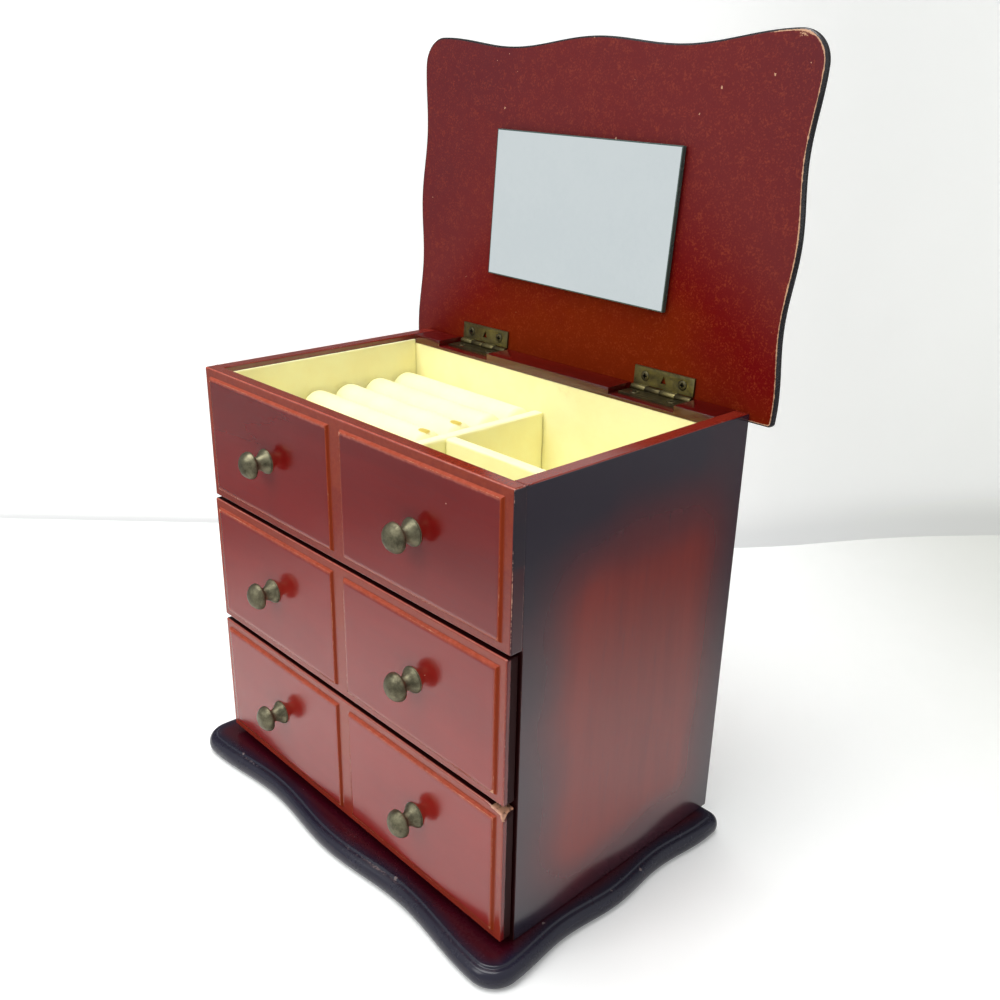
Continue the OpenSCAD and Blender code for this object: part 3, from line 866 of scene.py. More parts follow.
@dataclass(frozen=True)
class PlinthLacquer:
    """Near-black lacquer of the plinth, wine red where it meets the fronts, with pale nicks."""

    name: str = "plinth_lacquer"
    black: Colour = rgb(27, 25, 42)
    wine: Colour = rgb(56, 5, 18)
    worn: Colour = rgb(128, 112, 110)

    def made(self, effects: Effects) -> bpy.types.Material:
        """Builds the material.

        Args:
            effects: The shared effects.

        Returns:
            The material. It reads the values "edge" and "inward".
        """
        material, nodes = bare_material(self.name)
        place = nodes.object_place()
        inward = nodes.carried("inward")
        drift = nodes.swing(nodes.noise(place, 60.0), 3.0)
        wine = nodes.ramp(nodes.reckon("ADD", inward, drift), 3.0, 8.0)
        colour = nodes.mix(wine, self.black, self.wine)
        wear = {"Place": place, "Edge": nodes.carried("edge"), "Width": 0.9, "Amount": 0.26}
        worn = nodes.effect(effects.wear, **wear).outputs["Mask"]
        nick = nodes.effect(effects.nicks, Place=place, Scale=210.0, Share=0.12).outputs["Mask"]
        bare = nodes.reckon("MULTIPLY", nodes.reckon("MAXIMUM", worn, nick), 0.75)
        colour = nodes.mix(bare, colour, self.worn)
        smudge = nodes.effect(effects.smudge, Place=place, Scale=40.0).outputs["Value"]
        rough = nodes.reckon("MULTIPLY_ADD", bare, 0.35, nodes.swing(smudge, 0.1, 0.2))
        feeds = {"Base Color": colour, "Roughness": rough, "Specular IOR Level": 0.4}
        relief = nodes.reckon("SUBTRACT", smudge, bare)
        closed_with(nodes, feeds, relief, depth=0.00005, strength=0.4)
        return material


@dataclass(frozen=True)
class LidLacquer:
    """The lid: a mottled inner face, a near-black edge with a worn line, a shaded outer face."""

    name: str = "lid_lacquer"
    red: Colour = rgb(102, 7, 10)
    plum: Colour = rgb(92, 6, 17)
    amber: Colour = rgb(112, 31, 2)
    mottle: Colour = rgb(150, 58, 30)
    outside: Colour = rgb(112, 14, 12)
    black: Colour = rgb(20, 16, 22)
    tan: Colour = rgb(198, 152, 120)

    def made(self, effects: Effects) -> bpy.types.Material:
        """Builds the material.

        Args:
            effects: The shared effects.

        Returns:
            The material. It reads the values "inner", "rim", "glow", "halo" and "chip".
        """
        material, nodes = bare_material(self.name)
        place = nodes.object_place()
        broad = nodes.noise(place, 26.0, detail=4.0, rough=0.6)
        fine = nodes.noise(place, 320.0, detail=5.0, rough=0.7)
        speck = nodes.noise(place, 1500.0, detail=3.0, rough=0.7)
        lean = nodes.reckon("ADD", nodes.carried("glow"), nodes.swing(broad, 0.8))
        colour = nodes.mix(nodes.ramp(lean, -0.15, 0.4), self.plum, self.red)
        colour = nodes.mix(nodes.ramp(lean, 0.45, 1.0), colour, self.amber)
        mottle = nodes.weighed(fine, speck, 0.35)
        colour = nodes.mix(nodes.ramp(mottle, 0.50, 0.64, 0.0, 0.5), colour, self.mottle)
        rim = nodes.reckon("ADD", nodes.carried("rim"), nodes.swing(fine, 0.5))
        wall = nodes.ramp(rim, 0.35, 0.65)
        outer = nodes.ramp(nodes.carried("inner"), 0.3, 0.7, 1.0, 0.0)
        halo = nodes.ramp(nodes.reckon("ADD", nodes.carried("halo"), lean), 0.4, 1.5)
        colour = nodes.mix(outer, colour, nodes.mix(halo, self.outside, self.black))
        colour = nodes.mix(wall, colour, self.black)
        chip = nodes.reckon("ADD", nodes.carried("chip"), nodes.swing(fine, 1.1))
        scar = nodes.ramp(nodes.reckon("ADD", chip, nodes.swing(speck, 0.7)), 0.42, 0.55)
        nick = nodes.effect(effects.nicks, Place=place, Scale=170.0, Share=0.4, Size=0.055)
        bare = nodes.reckon("MAXIMUM", scar, nick.outputs["Mask"])
        colour = nodes.mix(bare, colour, self.tan)
        coated = nodes.reckon("MAXIMUM", wall, outer)
        rough = nodes.reckon("MULTIPLY_ADD", coated, -0.22, nodes.swing(mottle, 0.2, 0.38))
        relief = nodes.reckon("SUBTRACT", nodes.reckon("MULTIPLY", mottle, 0.5), bare)
        matt = nodes.ramp(nodes.carried("glow"), 0.27, 0.66, 0.32, 0.03)
        spec = nodes.reckon("MAXIMUM", nodes.reckon("MULTIPLY", coated, 0.6), matt)
        feeds = {"Base Color": colour, "Roughness": rough, "Specular IOR Level": spec}
        closed_with(nodes, feeds, relief, depth=0.00006, strength=0.5)
        return material


@dataclass(frozen=True)
class Velvet:
    """Cream velvet: short pile with a soft sheen, crushed patches and a few stains."""

    name: str = "cream_velvet"
    cream: Colour = rgb(255, 252, 203)
    deep: Colour = rgb(253, 243, 184)
    stain: Colour = rgb(168, 148, 92)
    foam: Colour = rgb(208, 184, 84)
    sheen: Colour = rgb(255, 246, 214)

    def made(self, effects: Effects) -> bpy.types.Material:
        """Builds the material.

        Args:
            effects: The shared effects.

        Returns:
            The material. It reads the values "foam" and "edge".
        """
        material, nodes = bare_material(self.name)
        place = nodes.object_place()
        crush = nodes.ramp(nodes.noise(place, 70.0, detail=4.0, rough=0.6), 0.35, 0.7)
        pile = nodes.noise(place, 2600.0, detail=3.0, rough=0.7)
        colour = nodes.mix(nodes.reckon("MULTIPLY", crush, 0.5), self.cream, self.deep)
        colour = nodes.mix(nodes.ramp(pile, 0.35, 0.75, 0.0, 0.3), colour, self.deep)
        mark = nodes.ramp(nodes.noise(place, 30.0, detail=5.0, rough=0.75), 0.62, 0.8, 0.0, 0.3)
        colour = nodes.mix(mark, colour, self.stain)
        wear = {"Edge": nodes.carried("edge"), "Width": 1.1, "Amount": 0.36, "Scale": 500.0}
        seam = nodes.effect(effects.wear, Place=place, **wear).outputs["Mask"]
        colour = nodes.mix(nodes.reckon("MULTIPLY", seam, 0.5), colour, self.stain)
        foam = nodes.reckon("ADD", nodes.carried("foam"), nodes.swing(pile, 0.4))
        colour = nodes.mix(nodes.ramp(foam, 0.4, 0.7), colour, self.foam)
        speck = nodes.effect(effects.nicks, Place=place, Scale=60.0, Share=0.08, Size=0.03)
        colour = nodes.mix(speck.outputs["Mask"], colour, self.stain)
        feeds = {
            "Base Color": colour,
            "Roughness": 0.9,
            "Specular IOR Level": 0.2,
            "Sheen Weight": 0.3,
            "Sheen Roughness": 0.4,
            "Sheen Tint": self.sheen,
        }
        relief = nodes.weighed(crush, pile, 0.6)
        closed_with(nodes, feeds, relief, depth=0.00018, strength=0.6)
        return material


@dataclass(frozen=True)
class AgedMetal:
    """Aged metal: a bright alloy under a dark, uneven patina, brighter where it is rubbed."""

    name: str
    bright: Colour
    dark: Colour
    roughness: float = 0.34
    patina: float = 0.5
    scale: float = 260.0
    # Near black for dirt and painted shade in screw heads.
    dirt_and_shade_tone: Colour = rgb(9, 8, 6)

    def made(self, effects: Effects) -> bpy.types.Material:
        """Builds the material.

        Args:
            effects: The shared effects.

        Returns:
            The material. It reads the value "pit".
        """
        material, nodes = bare_material(self.name)
        place = nodes.object_place()
        cloud = nodes.noise(place, self.scale, detail=5.0, rough=0.65)
        grit = nodes.noise(place, self.scale * 9, detail=4.0, rough=0.7)
        both = nodes.weighed(cloud, grit, 0.7)
        film = nodes.ramp(both, 0.36, 0.66)
        share = nodes.swing(film, self.patina, 0.12)
        colour = nodes.mix(share, self.bright, self.dark)
        # Dirt and painted shade: near black, and rougher, as much as the points carry.
        dirt_and_shade = nodes.ramp(nodes.carried("dirt_and_shade"), 0.15, 0.85)
        colour = nodes.mix(dirt_and_shade, colour, self.dirt_and_shade_tone)
        smudge = nodes.effect(effects.smudge, Place=place, Scale=120.0).outputs["Value"]
        rough = nodes.reckon("MULTIPLY_ADD", dirt_and_shade, 0.3, nodes.swing(smudge, 0.16, self.roughness))
        metal = nodes.swing(film, -0.25, 1.0)
        feeds = {"Base Color": colour, "Roughness": rough, "Metallic": metal}
        closed_with(nodes, feeds, both, depth=0.00005, strength=0.5)
        return material


@dataclass(frozen=True)
class SilveredGlass:
    """Mirror: a silvered front, and the dark green-grey of glass seen through its cut edge."""

    name: str = "silvered_glass"
    silver: Colour = rgb(228, 234, 234)
    breath: Colour = rgb(196, 208, 212)
    cut_edge: Colour = rgb(66, 82, 78)

    def made(self, effects: Effects) -> bpy.types.Material:
        """Builds the material.

        Args:
            effects: The shared effects.

        Returns:
            The material. It reads the value "front".
        """
        material, nodes = bare_material(self.name)
        place = nodes.object_place()
        front = nodes.ramp(nodes.carried("front"), 0.45, 0.55)
        smudge = nodes.effect(effects.smudge, Place=place, Scale=26.0).outputs["Value"]
        tint = nodes.mix(nodes.reckon("MULTIPLY", smudge, 0.12), self.silver, self.breath)
        colour = nodes.mix(front, self.cut_edge, tint)
        cut = nodes.reckon("SUBTRACT", 1.0, front)
        rough = nodes.reckon("MULTIPLY_ADD", cut, 0.2, nodes.swing(smudge, 0.05, 0.05))
        closed_with(nodes, {"Base Color": colour, "Roughness": rough, "Metallic": front})
        return material


@dataclass(frozen=True)
class RawBoard:
    """Unfinished board inside the case: thin grain in a plain light brown."""

    name: str
    squeeze: tuple[float, float, float]
    light: Colour = rgb(178, 136, 94)
    dark: Colour = rgb(132, 92, 58)

    def made(self, effects: Effects) -> bpy.types.Material:
        """Builds the material.

        Args:
            effects: The shared effects.

        Returns:
            The material.
        """
        material, nodes = bare_material(self.name)
        along = nodes.stretched(nodes.object_place(), self.squeeze)
        grain = nodes.effect(effects.grain, Place=along, Scale=90.0)
        colour = nodes.mix(grain.outputs["Streaks"], self.light, self.dark)
        colour = nodes.mix(nodes.reckon("MULTIPLY", grain.outputs["Pores"], 0.5), colour, self.dark)
        smudge = nodes.effect(effects.smudge, Place=nodes.object_place()).outputs["Value"]
        rough = nodes.swing(smudge, 0.15, 0.62)
        feeds = {"Base Color": colour, "Roughness": rough}
        closed_with(nodes, feeds, grain.outputs["Streaks"], depth=0.00008, strength=0.5)
        return material


@dataclass(frozen=True)
class FoamTape:
    """Black foam tape behind the mirror, with a fine open-cell grain."""

    name: str = "foam_tape"
    deep: Colour = rgb(22, 22, 23)
    pale: Colour = rgb(44, 44, 45)

    def made(self, effects: Effects) -> bpy.types.Material:
        """Builds the material.

        Args:
            effects: The shared effects.

        Returns:
            The material.
        """
        material, nodes = bare_material(self.name)
        cells = nodes.noise(nodes.object_place(), 2200.0, detail=3.0, rough=0.6)
        colour = nodes.mix(nodes.ramp(cells, 0.4, 0.6), self.deep, self.pale)
        smudge = nodes.effect(effects.smudge, Place=nodes.object_place()).outputs["Value"]
        rough = nodes.swing(smudge, 0.1, 0.8)
        feeds = {"Base Color": colour, "Roughness": rough}
        closed_with(nodes, feeds, cells, depth=0.0001, strength=0.6)
        return material


@dataclass
class Finishes:
    """Every material of the box, built once."""

    effects: Effects = field(default_factory=Effects)

    def __post_init__(self) -> None:
        """Builds the materials."""
        across, upright, deep = (0.12, 1.0, 1.0), (1.0, 1.0, 0.12), (1.0, 0.12, 1.0)
        made = self.effects
        self.front = Lacquer("front_lacquer", across).made(made)
        brown = {"deep": rgb(112, 19, 12), "warm": rgb(132, 31, 19), "shade": rgb(38, 32, 46)}
        self.side = Lacquer("side_lacquer", upright, wear_amount=0.34, **brown).made(made)
        dark = {"deep": rgb(60, 3, 4), "warm": rgb(88, 8, 6), "shade": rgb(30, 4, 6)}
        self.rail = Lacquer("rail_lacquer", across, nick_share=0.05, **dark).made(made)
        self.plinth = PlinthLacquer().made(made)
        self.lid = LidLacquer().made(made)
        self.velvet = Velvet().made(made)
        pewter = AgedMetal("pewter", rgb(136, 131, 106), rgb(40, 36, 22), 0.38, 0.66, 420.0)
        steel = AgedMetal("screw_steel", rgb(104, 97, 70), rgb(20, 18, 12), 0.3)
        brass = AgedMetal("aged_brass", rgb(122, 113, 74), rgb(38, 33, 18), 0.3, 0.6)
        # A darker copy of the brass for the leaves on the case: painted shade.
        brass_in_shade = AgedMetal("brass_shaded_copy", rgb(92, 83, 54), rgb(26, 22, 12), 0.3, 0.6)
        metals = [metal.made(made) for metal in (pewter, steel, brass, brass_in_shade)]
        self.pewter, self.steel, self.brass, self.brass_shaded_copy = metals
        self.mirror = SilveredGlass().made(made)
        self.board = RawBoard("raw_board", deep).made(made)
        self.cross_board = RawBoard("raw_cross_board", across).made(made)
        self.tape = FoamTape().made(made)


def butted(points: np.ndarray, joint: float, high: Vector, radius: float = 0.0006) -> np.ndarray:
    """Leaves a fifth of the rounding where a board meets its neighbour flush.

    Formula: beside the joint, what lacks to the outer side and to the top shrinks to a fifth.

    Args:
        points: The board's points.
        joint: Y of the joint.
        high: The upper right corner that both boards share.
        radius: Radius of the rounding.

    Returns:
        The moved points.
    """
    moved = points.copy()
    left = 0.2
    near = np.abs(points[:, 1] - joint) < radius
    for axis in (0, 2):
        lack = high[axis] - np.abs(points[:, axis])
        flush = np.sign(points[:, axis]) * (high[axis] - left * lack)
        moved[:, axis] = np.where(near & (lack < radius), flush, points[:, axis])
    return moved


# Plinth and lid share one waved outline.


@dataclass(frozen=True)
class WavedPlan:
    """The waved outline of plinth and lid, seen from above."""

    half_width: float = 0.0883
    corner: float = 0.010
    front_wave: float = 0.0033
    bulge_drop: float = 0.0007
    side_wave: float = 0.0019
    side_waves: float = 2.1
    steps: int = 90

    def line(self, front: float, length: float, rear_corner: float) -> np.ndarray:
        """Works out the outline, anticlockwise from the middle of the front.

        Formula: the front lies behind the foremost line by half the wave's depth times one minus
        the cosine of a turn per half width, plus the drop of the middle bulge. The corners are
        arcs, and each side comes in by half the side wave's depth times one minus a cosine.

        Args:
            front: Y of the foremost line.
            length: Length from front to rear.
            rear_corner: Radius of the rear corners.

        Returns:
            Points as rows of X and Y.
        """
        wave = self.half_width - self.corner
        x = np.linspace(0, wave, self.steps, endpoint=False)
        turn = 2 * math.pi * x / wave
        corner_steps, rear_steps, straight_steps = 14, 10, 40
        back = self.front_wave * (1 - np.cos(turn)) / 2
        back += self.bulge_drop * (1 + np.cos(turn / 2)) / 2
        along = np.stack([x, front + back], 1)
        a = np.linspace(0, math.pi / 2, corner_steps, endpoint=False)
        arc = np.stack([wave + self.corner * np.sin(a), front + self.corner * (1 - np.cos(a))], 1)
        side = length - self.corner - rear_corner
        u = np.linspace(0, side, self.steps)
        turns = 2 * math.pi * self.side_waves
        inward = self.side_wave * (1 - np.cos(turns * u / side)) / 2
        edge = np.stack([self.half_width - inward, front + self.corner + u], 1)
        rear_x, rear_y = edge[-1] - np.array([rear_corner, 0])
        b = np.linspace(0, math.pi / 2, rear_steps)[1:]
        rear = np.stack([rear_x + rear_corner * np.cos(b), rear_y + rear_corner * np.sin(b)], 1)
        inwards = np.linspace(rear_x, 0, straight_steps)[1:]
        straight = np.stack([inwards, np.full(len(inwards), rear[-1, 1])], 1)
        half = np.vstack([along, arc, edge, rear, straight])
        other = half[-2:0:-1] * np.array([-1, 1])
        return np.vstack([half, other])


def drawn_in(plan: np.ndarray, by: float) -> np.ndarray:
    """Moves a closed line inwards, each point square to the line through its two neighbours.

    Args:
        plan: The anticlockwise line as rows of X and Y.
        by: How far to move it.

    Returns:
        The moved line.
    """
    along = np.roll(plan, -1, axis=0) - np.roll(plan, 1, axis=0)
    along /= np.linalg.norm(along, axis=1, keepdims=True)
    return plan + by * np.stack([-along[:, 1], along[:, 0]], 1)


def line_gap(points: np.ndarray, line: np.ndarray) -> np.ndarray:
    """Distance of points from a closed line.

    Formula: the foot on each stretch from a to b is a + t(b - a), with t = (p - a).(b - a) over the
    stretch's length squared, held from 0 to 1. The least distance counts.

    Args:
        points: Points as rows of X and Y.
        line: The closed line as rows of X and Y.

    Returns:
        One distance per point.
    """
    start, along = line, np.roll(line, -1, axis=0) - line
    out = points[:, None] - start[None]
    share = np.clip((out * along).sum(2) / (along**2).sum(1), 0, 1)
    return np.linalg.norm(out - share[..., None] * along, axis=2).min(axis=1)


def moulded_board(plan: np.ndarray, profile: np.ndarray) -> Surface:
    """Carries a moulded edge round a plan and closes the board above and below.

    Formula: each pair of the profile, how far in and how high, gives one ring of the plan drawn in
    by so much. The faces are rings that shrink from there to the plan's middle.

    Args:
        plan: The closed outline as rows of X and Y.
        profile: Rows of inset and height, from the lower face to the upper.

    Returns:
        The board, whose points carry "inward", their distance from the outline in millimetres.
    """
    shrink = np.array([0, 0.2, 0.4, 0.6, 0.75, 0.85, 0.91, 0.95, 0.97, 0.98, 0.988, 0.994])
    middle = np.array([0.0, (plan[:, 1].min() + plan[:, 1].max()) / 2])
    low, high = drawn_in(plan, profile[0, 0]), drawn_in(plan, profile[-1, 0])
    below = [(middle + (low - middle) * s, profile[0, 1]) for s in shrink]
    above = [(middle + (high - middle) * s, profile[-1, 1]) for s in shrink[::-1]]
    wall = [(drawn_in(plan, inset), height) for inset, height in profile]
    rings = [np.hstack([ring, np.full((len(ring), 1), z)]) for ring, z in below + wall + above]
    points = np.vstack(rings)
    reach = np.concatenate([line_gap(part[:, :2], plan) for part in np.array_split(points, 40)])
    quads = grid_quads(len(rings), len(plan), closed=True)
    return Surface.welded(points, quads, {"inward": reach / MM})


@dataclass
class Plinth:
    """The waved base board with its rounded edge."""

    finishes: Finishes
    plan: WavedPlan = field(default_factory=WavedPlan)
    step: float = 0.0006
    edge_width: float = 0.0032
    rear_corner: float = 0.005
    outer_band: float = 4.0

    def build(self) -> None:
        """Makes the plinth and dresses its screws."""
        low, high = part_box("base_plinth")
        line = self.plan.line(low.y, high.y - low.y, self.rear_corner)
        board = moulded_board(line, self.profile(high.z))
        height = board.points[:, 2]
        corner = np.minimum(np.abs(height - (high.z - self.step)), np.abs(height))
        outer = board.values["inward"] < self.outer_band
        board.values["edge"] = np.where(outer, corner / MM, FAR_FROM_EDGE)
        board.piece("plinth_board", Body.CASE, Slot.PLINTH, self.finishes.plinth, ["base_plinth"])
        dressed("plinth_screws", self.finishes.steel)

    def profile(self, top: float) -> np.ndarray:
        """Works out the edge: a flattened half round with a small step above it.

        Formula: at the angle a from level, the inset is 0.82 times the radius times one minus the
        cosine, and the height is the sine scaled so that the arc spans the edge.

        Args:
            top: Height of the board's upper face.

        Returns:
            Rows of inset and height, from the lower face to the upper.
        """
        round_top = top - self.step
        span = math.radians(78)
        a = np.linspace(-span, span, 18)
        radius = round_top / 2
        inset = radius * (1 - np.cos(a)) * 0.82
        height = radius + radius * np.sin(a) / math.sin(span)
        lip = self.edge_width
        steps = [(lip - 0.0004, round_top), (lip - 0.0001, round_top + 0.0001)]
        steps += [(lip, top - 0.0002), (lip + 0.0002, top)]
        base = [(inset[0] + 0.0006, 0.0)]
        return np.vstack([base, np.stack([inset, height], 1), steps])


@dataclass
class Board:
    """A plain board that stands for one box-shaped CAD node."""

    node: str
    body: Body
    slot: Slot
    finish: bpy.types.Material
    radius: float = 0.0004
    step: float = 0.004
    shade: Callable[[np.ndarray], dict[str, np.ndarray]] | None = None
    shape: Callable[[np.ndarray], np.ndarray] | None = None

    def build(self) -> bpy.types.Object:
        """Makes the board from the node's corners.

        Returns:
            The piece.
        """
        low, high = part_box(self.node)
        board = rounded_box(low, high, self.radius, self.step)
        if self.shade:
            board.values.update(self.shade(board.points))
        if self.shape:
            board.points = self.shape(board.points)
        return board.piece(self.node + "_board", self.body, self.slot, self.finish, [self.node])


@dataclass
class Case:
    """Side panels, back, hinge rail and the hidden boards of the case."""

    finishes: Finishes
    rear_ease: float = 0.0007
    joint_top: float = 0.1105
    back_halo: float = 0.022

    def build(self) -> None:
        """Makes the boards of the case."""
        lacquered = (Body.CASE, Slot.LACQUER, self.finishes.side)
        panel = {"radius": 0.0005, "step": 0.0025, "shade": self.side_shade, "shape": self.shaped}
        for side in ("left", "right"):
            Board(f"side_panel_{side}", *lacquered, **panel).build()
        Board("back_panel", *lacquered, shade=self.back_shade).build()
        softened("hinge_rail", Body.CASE, self.finishes.rail, width=0.00025)
        for node in ("tray_board", "shelf_board", "case_floor"):
            Board(node, Body.CASE, Slot.BOARD, self.finishes.board).build()

    def side_shade(self, points: np.ndarray) -> dict[str, np.ndarray]:
        """Shades the side panel dark towards its four edges and leaves its top edge brown, and
        paints shade on its inner face and on its front face behind the drawers.

        Formula: the glow is a product of four parts, one per edge, each falling towards its edge
        by the curve 3t^2 - 2t^3, and the shade is what the glow leaves.

        Args:
            points: The panel's points.

        Returns:
            Its values "halo", "amber" and "ember".
        """
        low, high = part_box("side_panel_right")
        y, z = points[:, 1], points[:, 2]
        drift = 0.0025 * soft_noise(points, 0.020, 3)
        glow = np.ones(len(points))
        spans = ((y - low.y, 0.84, 0.033), (high.y - y, 0.85, 0.026), (z - low.z, 0.78, 0.030))
        over = high.z - z - 0.011 + 0.05 * (y - low.y)
        for reach, depth, width in (*spans, (over, 1.0, 0.041)):
            t = np.clip(1 - (reach + drift) / width, 0, 1)
            glow *= 1 - depth * eased(t)
        rim = z > high.z - SKIN
        # Painted shade: the front face behind the drawers goes dark red-black, and the inner face
        # above the lining goes darker and browner.
        front = (y < low.y + SKIN) & (z < self.joint_top)
        inner = np.abs(points[:, 0]) < low.x + SKIN
        return {
            "halo": np.where(front, 0, np.where(rim, 0.25, np.where(inner, 0.42, 1 - glow))),
            "amber": np.where(rim, 0.5 - 1.4 * y, np.where(inner, 0.6, 0.0)),
            "ember": np.where(front, 1.0, 0.0),
        }

    def back_shade(self, points: np.ndarray) -> dict[str, np.ndarray]:
        """Shades the back dark towards its edges.

        Args:
            points: The panel's points.

        Returns:
            Its value "halo".
        """
        low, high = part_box("back_panel")
        near = np.minimum(points - np.array(low), np.array(high) - points)
        reach = np.minimum(near[:, 0], near[:, 2])
        return {"halo": np.clip(1 - reach / self.back_halo, 0, 1)}

    def shaped(self, points: np.ndarray) -> np.ndarray:
        """Cuts the rear top edge back along the diagonal, and sharpens the joint at the front.

        Args:
            points: The panel's points.

        Returns:
            The moved points.
        """
        low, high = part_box("side_panel_right")
        over = points[:, 1] - high.y + points[:, 2] - high.z + self.rear_ease
        moved = points.copy()
        moved[:, 1:] -= (np.clip(over, 0, None) / 2)[:, None]
        return butted(moved, low.y, high)


@dataclass
class Front:
    """A front with two raised fields between flat borders."""

    node: str
    body: Body
    finish: bpy.types.Material
    border: float = 0.0028
    strip: float = 0.0058
    slope: float = 0.0007
    relief: float = 0.0009
    # Painted floor reflection on the face, partly hazy varnish, at the bottom and at the top.
    haze_and_reflection: tuple[float, float] = (0.0, 0.0)
    chipped: bool = False
    half: float = 0.0766
    loose: float = 1.0

    def build(self) -> None:
        """Makes the front as a rounded board whose face rises in two fields."""
        low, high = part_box(self.node)
        base = Vector((low.x, low.y + self.relief, low.z))
        rise = self.slope * np.linspace(0, 1, 6)
        x_lines = [s * (e + d * r) for s in (-1, 1) for e, d in self.x_edges() for r in rise]
        bottom, top = low.z + self.border, high.z - self.border
        z_lines = [bottom + r for r in rise] + [top - r for r in rise]
        lines = (x_lines, (), z_lines)
        board = rounded_box(base, high, radius=0.00055, step=0.0022, extra=lines)
        x, y, z = board.points.T
        inside = np.minimum(
            np.minimum(np.abs(x) - self.strip / 2, self.half - np.abs(x)),
            np.minimum(z - bottom, top - z),
        )
        share = np.clip(inside / self.slope, 0, 1)
        face = y < base.y + 0.0002
        board.points[:, 1] -= np.where(face, eased(share) * self.relief, 0)
        level = np.clip((z - low.z) / (high.z - low.z), 0, 1)
        # Painted floor reflection, partly hazy varnish, blended from the front's bottom to its top.
        lower, upper = self.haze_and_reflection
        board.values["haze_and_reflection"] = np.where(face, lower + (upper - lower) * level, 0)
        crest = np.abs(inside - self.slope) / MM
        crest = np.where(face & (share > 0.5), crest, FAR_FROM_EDGE)
        board.values["edge"] = np.minimum(board.values["edge"], crest)
        board.values.update(self.tones(board.points, face, share, low, high))
        if self.chipped:
            self.chip(board, high)
        if not self.loose:
            board.points = butted(board.points, high.y, high)
            worn = (x > high.x - 0.0007) & (y < base.y + 0.0007)
            board.values["edge"] *= np.where(worn, 0.3, 1.0)
        board.piece(self.node + "_panel", self.body, Slot.LACQUER, self.finish, [self.node])

    def x_edges(self) -> tuple[tuple[float, int], tuple[float, int]]:
        """Inner and outer edge of a field, each with the way in which the field rises."""
        return (self.strip / 2, 1), (self.half, -1)

    def tones(
        self, points: np.ndarray, face: np.ndarray, share: np.ndarray, low: Vector, high: Vector
    ) -> dict[str, np.ndarray]:
        """Where the front is amber, pale with painted highlights and worn varnish, or dark with its
        toning and with painted shade.

        Args:
            points: The board's points.
            face: Whether each lies on the face.
            share: How far up its slope each is, 0 on the border and 1 on a field.
            low: Lowest corner of the front.
            high: Highest corner of the front.

        Returns:
            The values "amber", "salmon", "ember" and "halo".
        """
        x, y, z = points.T
        inner, outer = np.abs(x) - self.strip / 2, self.half - np.abs(x)
        level = np.minimum(z - low.z - self.border, high.z - self.border - z)
        crown = np.minimum(np.minimum(inner, outer), level) < 1.05 * self.slope
        slope = face & (share > 0.02) & crown
        sideways = slope & (np.minimum(inner, outer) < level)
        # Slopes that face right: painted shade darkens their crests, and their amber is a little
        # stronger.
        right = sideways & (np.where(x > 0, outer, inner) < np.where(x > 0, inner, outer))
        flat = face & (share <= 0.02)
        top, under = z > high.z - SKIN, z < low.z + SKIN
        crest = np.clip(1 - np.abs(share - 0.9) / 0.12, 0, 1) * face
        ends = np.abs(x) > high.x - SKIN
        # The rear of a drawer front's ends, in painted shade from the gap behind the front.
        behind = np.clip((y - low.y - self.relief - 0.0016) / 0.0004, 0, 1)
        upper = z > 0.5 * (low.z + high.z)
        amber = np.where(flat, 0.52 + 0.14 * upper, 0) + np.where(slope, 0.95, 0) + 0.15 * right
        front_edge = top & (y < low.y + self.relief + 0.0005)
        # Painted shade of the gaps: a drawer front's top face except its front edge, and the
        # underside of every front.
        dark = self.loose * np.maximum(top & ~front_edge, under) + (1 - self.loose) * under
        # Painted highlights, partly worn varnish: the upward slopes of the fields, the front edge
        # of the top face, and the crests.
        lit_top_slope = slope & ~sideways & upper
        wear_and_highlight = np.where(lit_top_slope, 0.5, 0) + 0.6 * front_edge
        return {
            "amber": np.where(top, 0.6, amber),
            "wear_and_highlight": np.maximum(wear_and_highlight, crest * ~sideways),
            "ember": np.maximum(0.8 * crest * right, np.maximum(dark, ends * behind * self.loose)),
            "halo": np.where(ends & ~top, (1.0 - self.loose) * (0.72 + 0.28 * upper), 0.0),
        }

    def chip(self, board: Surface, high: Vector) -> None:
        """Breaks the upper right corner: points near it sink in, and count as a worn edge.

        Formula: the bite falls from 1 at the corner to 0 at a reach of 4.2 mm that noise varies.

        Args:
            board: The front, which this changes.
            high: Highest corner of the front.
        """
        away = board.points - np.array([high.x, high.y - 0.004, high.z])
        reach = np.linalg.norm(away * np.array([0.6, 1.0, 1.3]), axis=1)
        ragged = reach + 0.0006 * soft_noise(board.points, 0.0011, 5)
        bite = np.clip(1 - ragged / 0.0042, 0, 1)
        board.points[:, 0] -= 0.0007 * bite
        board.points[:, 2] -= 0.0011 * bite
        board.values["edge"] = np.where(bite > 0.05, 0.0, board.values["edge"])


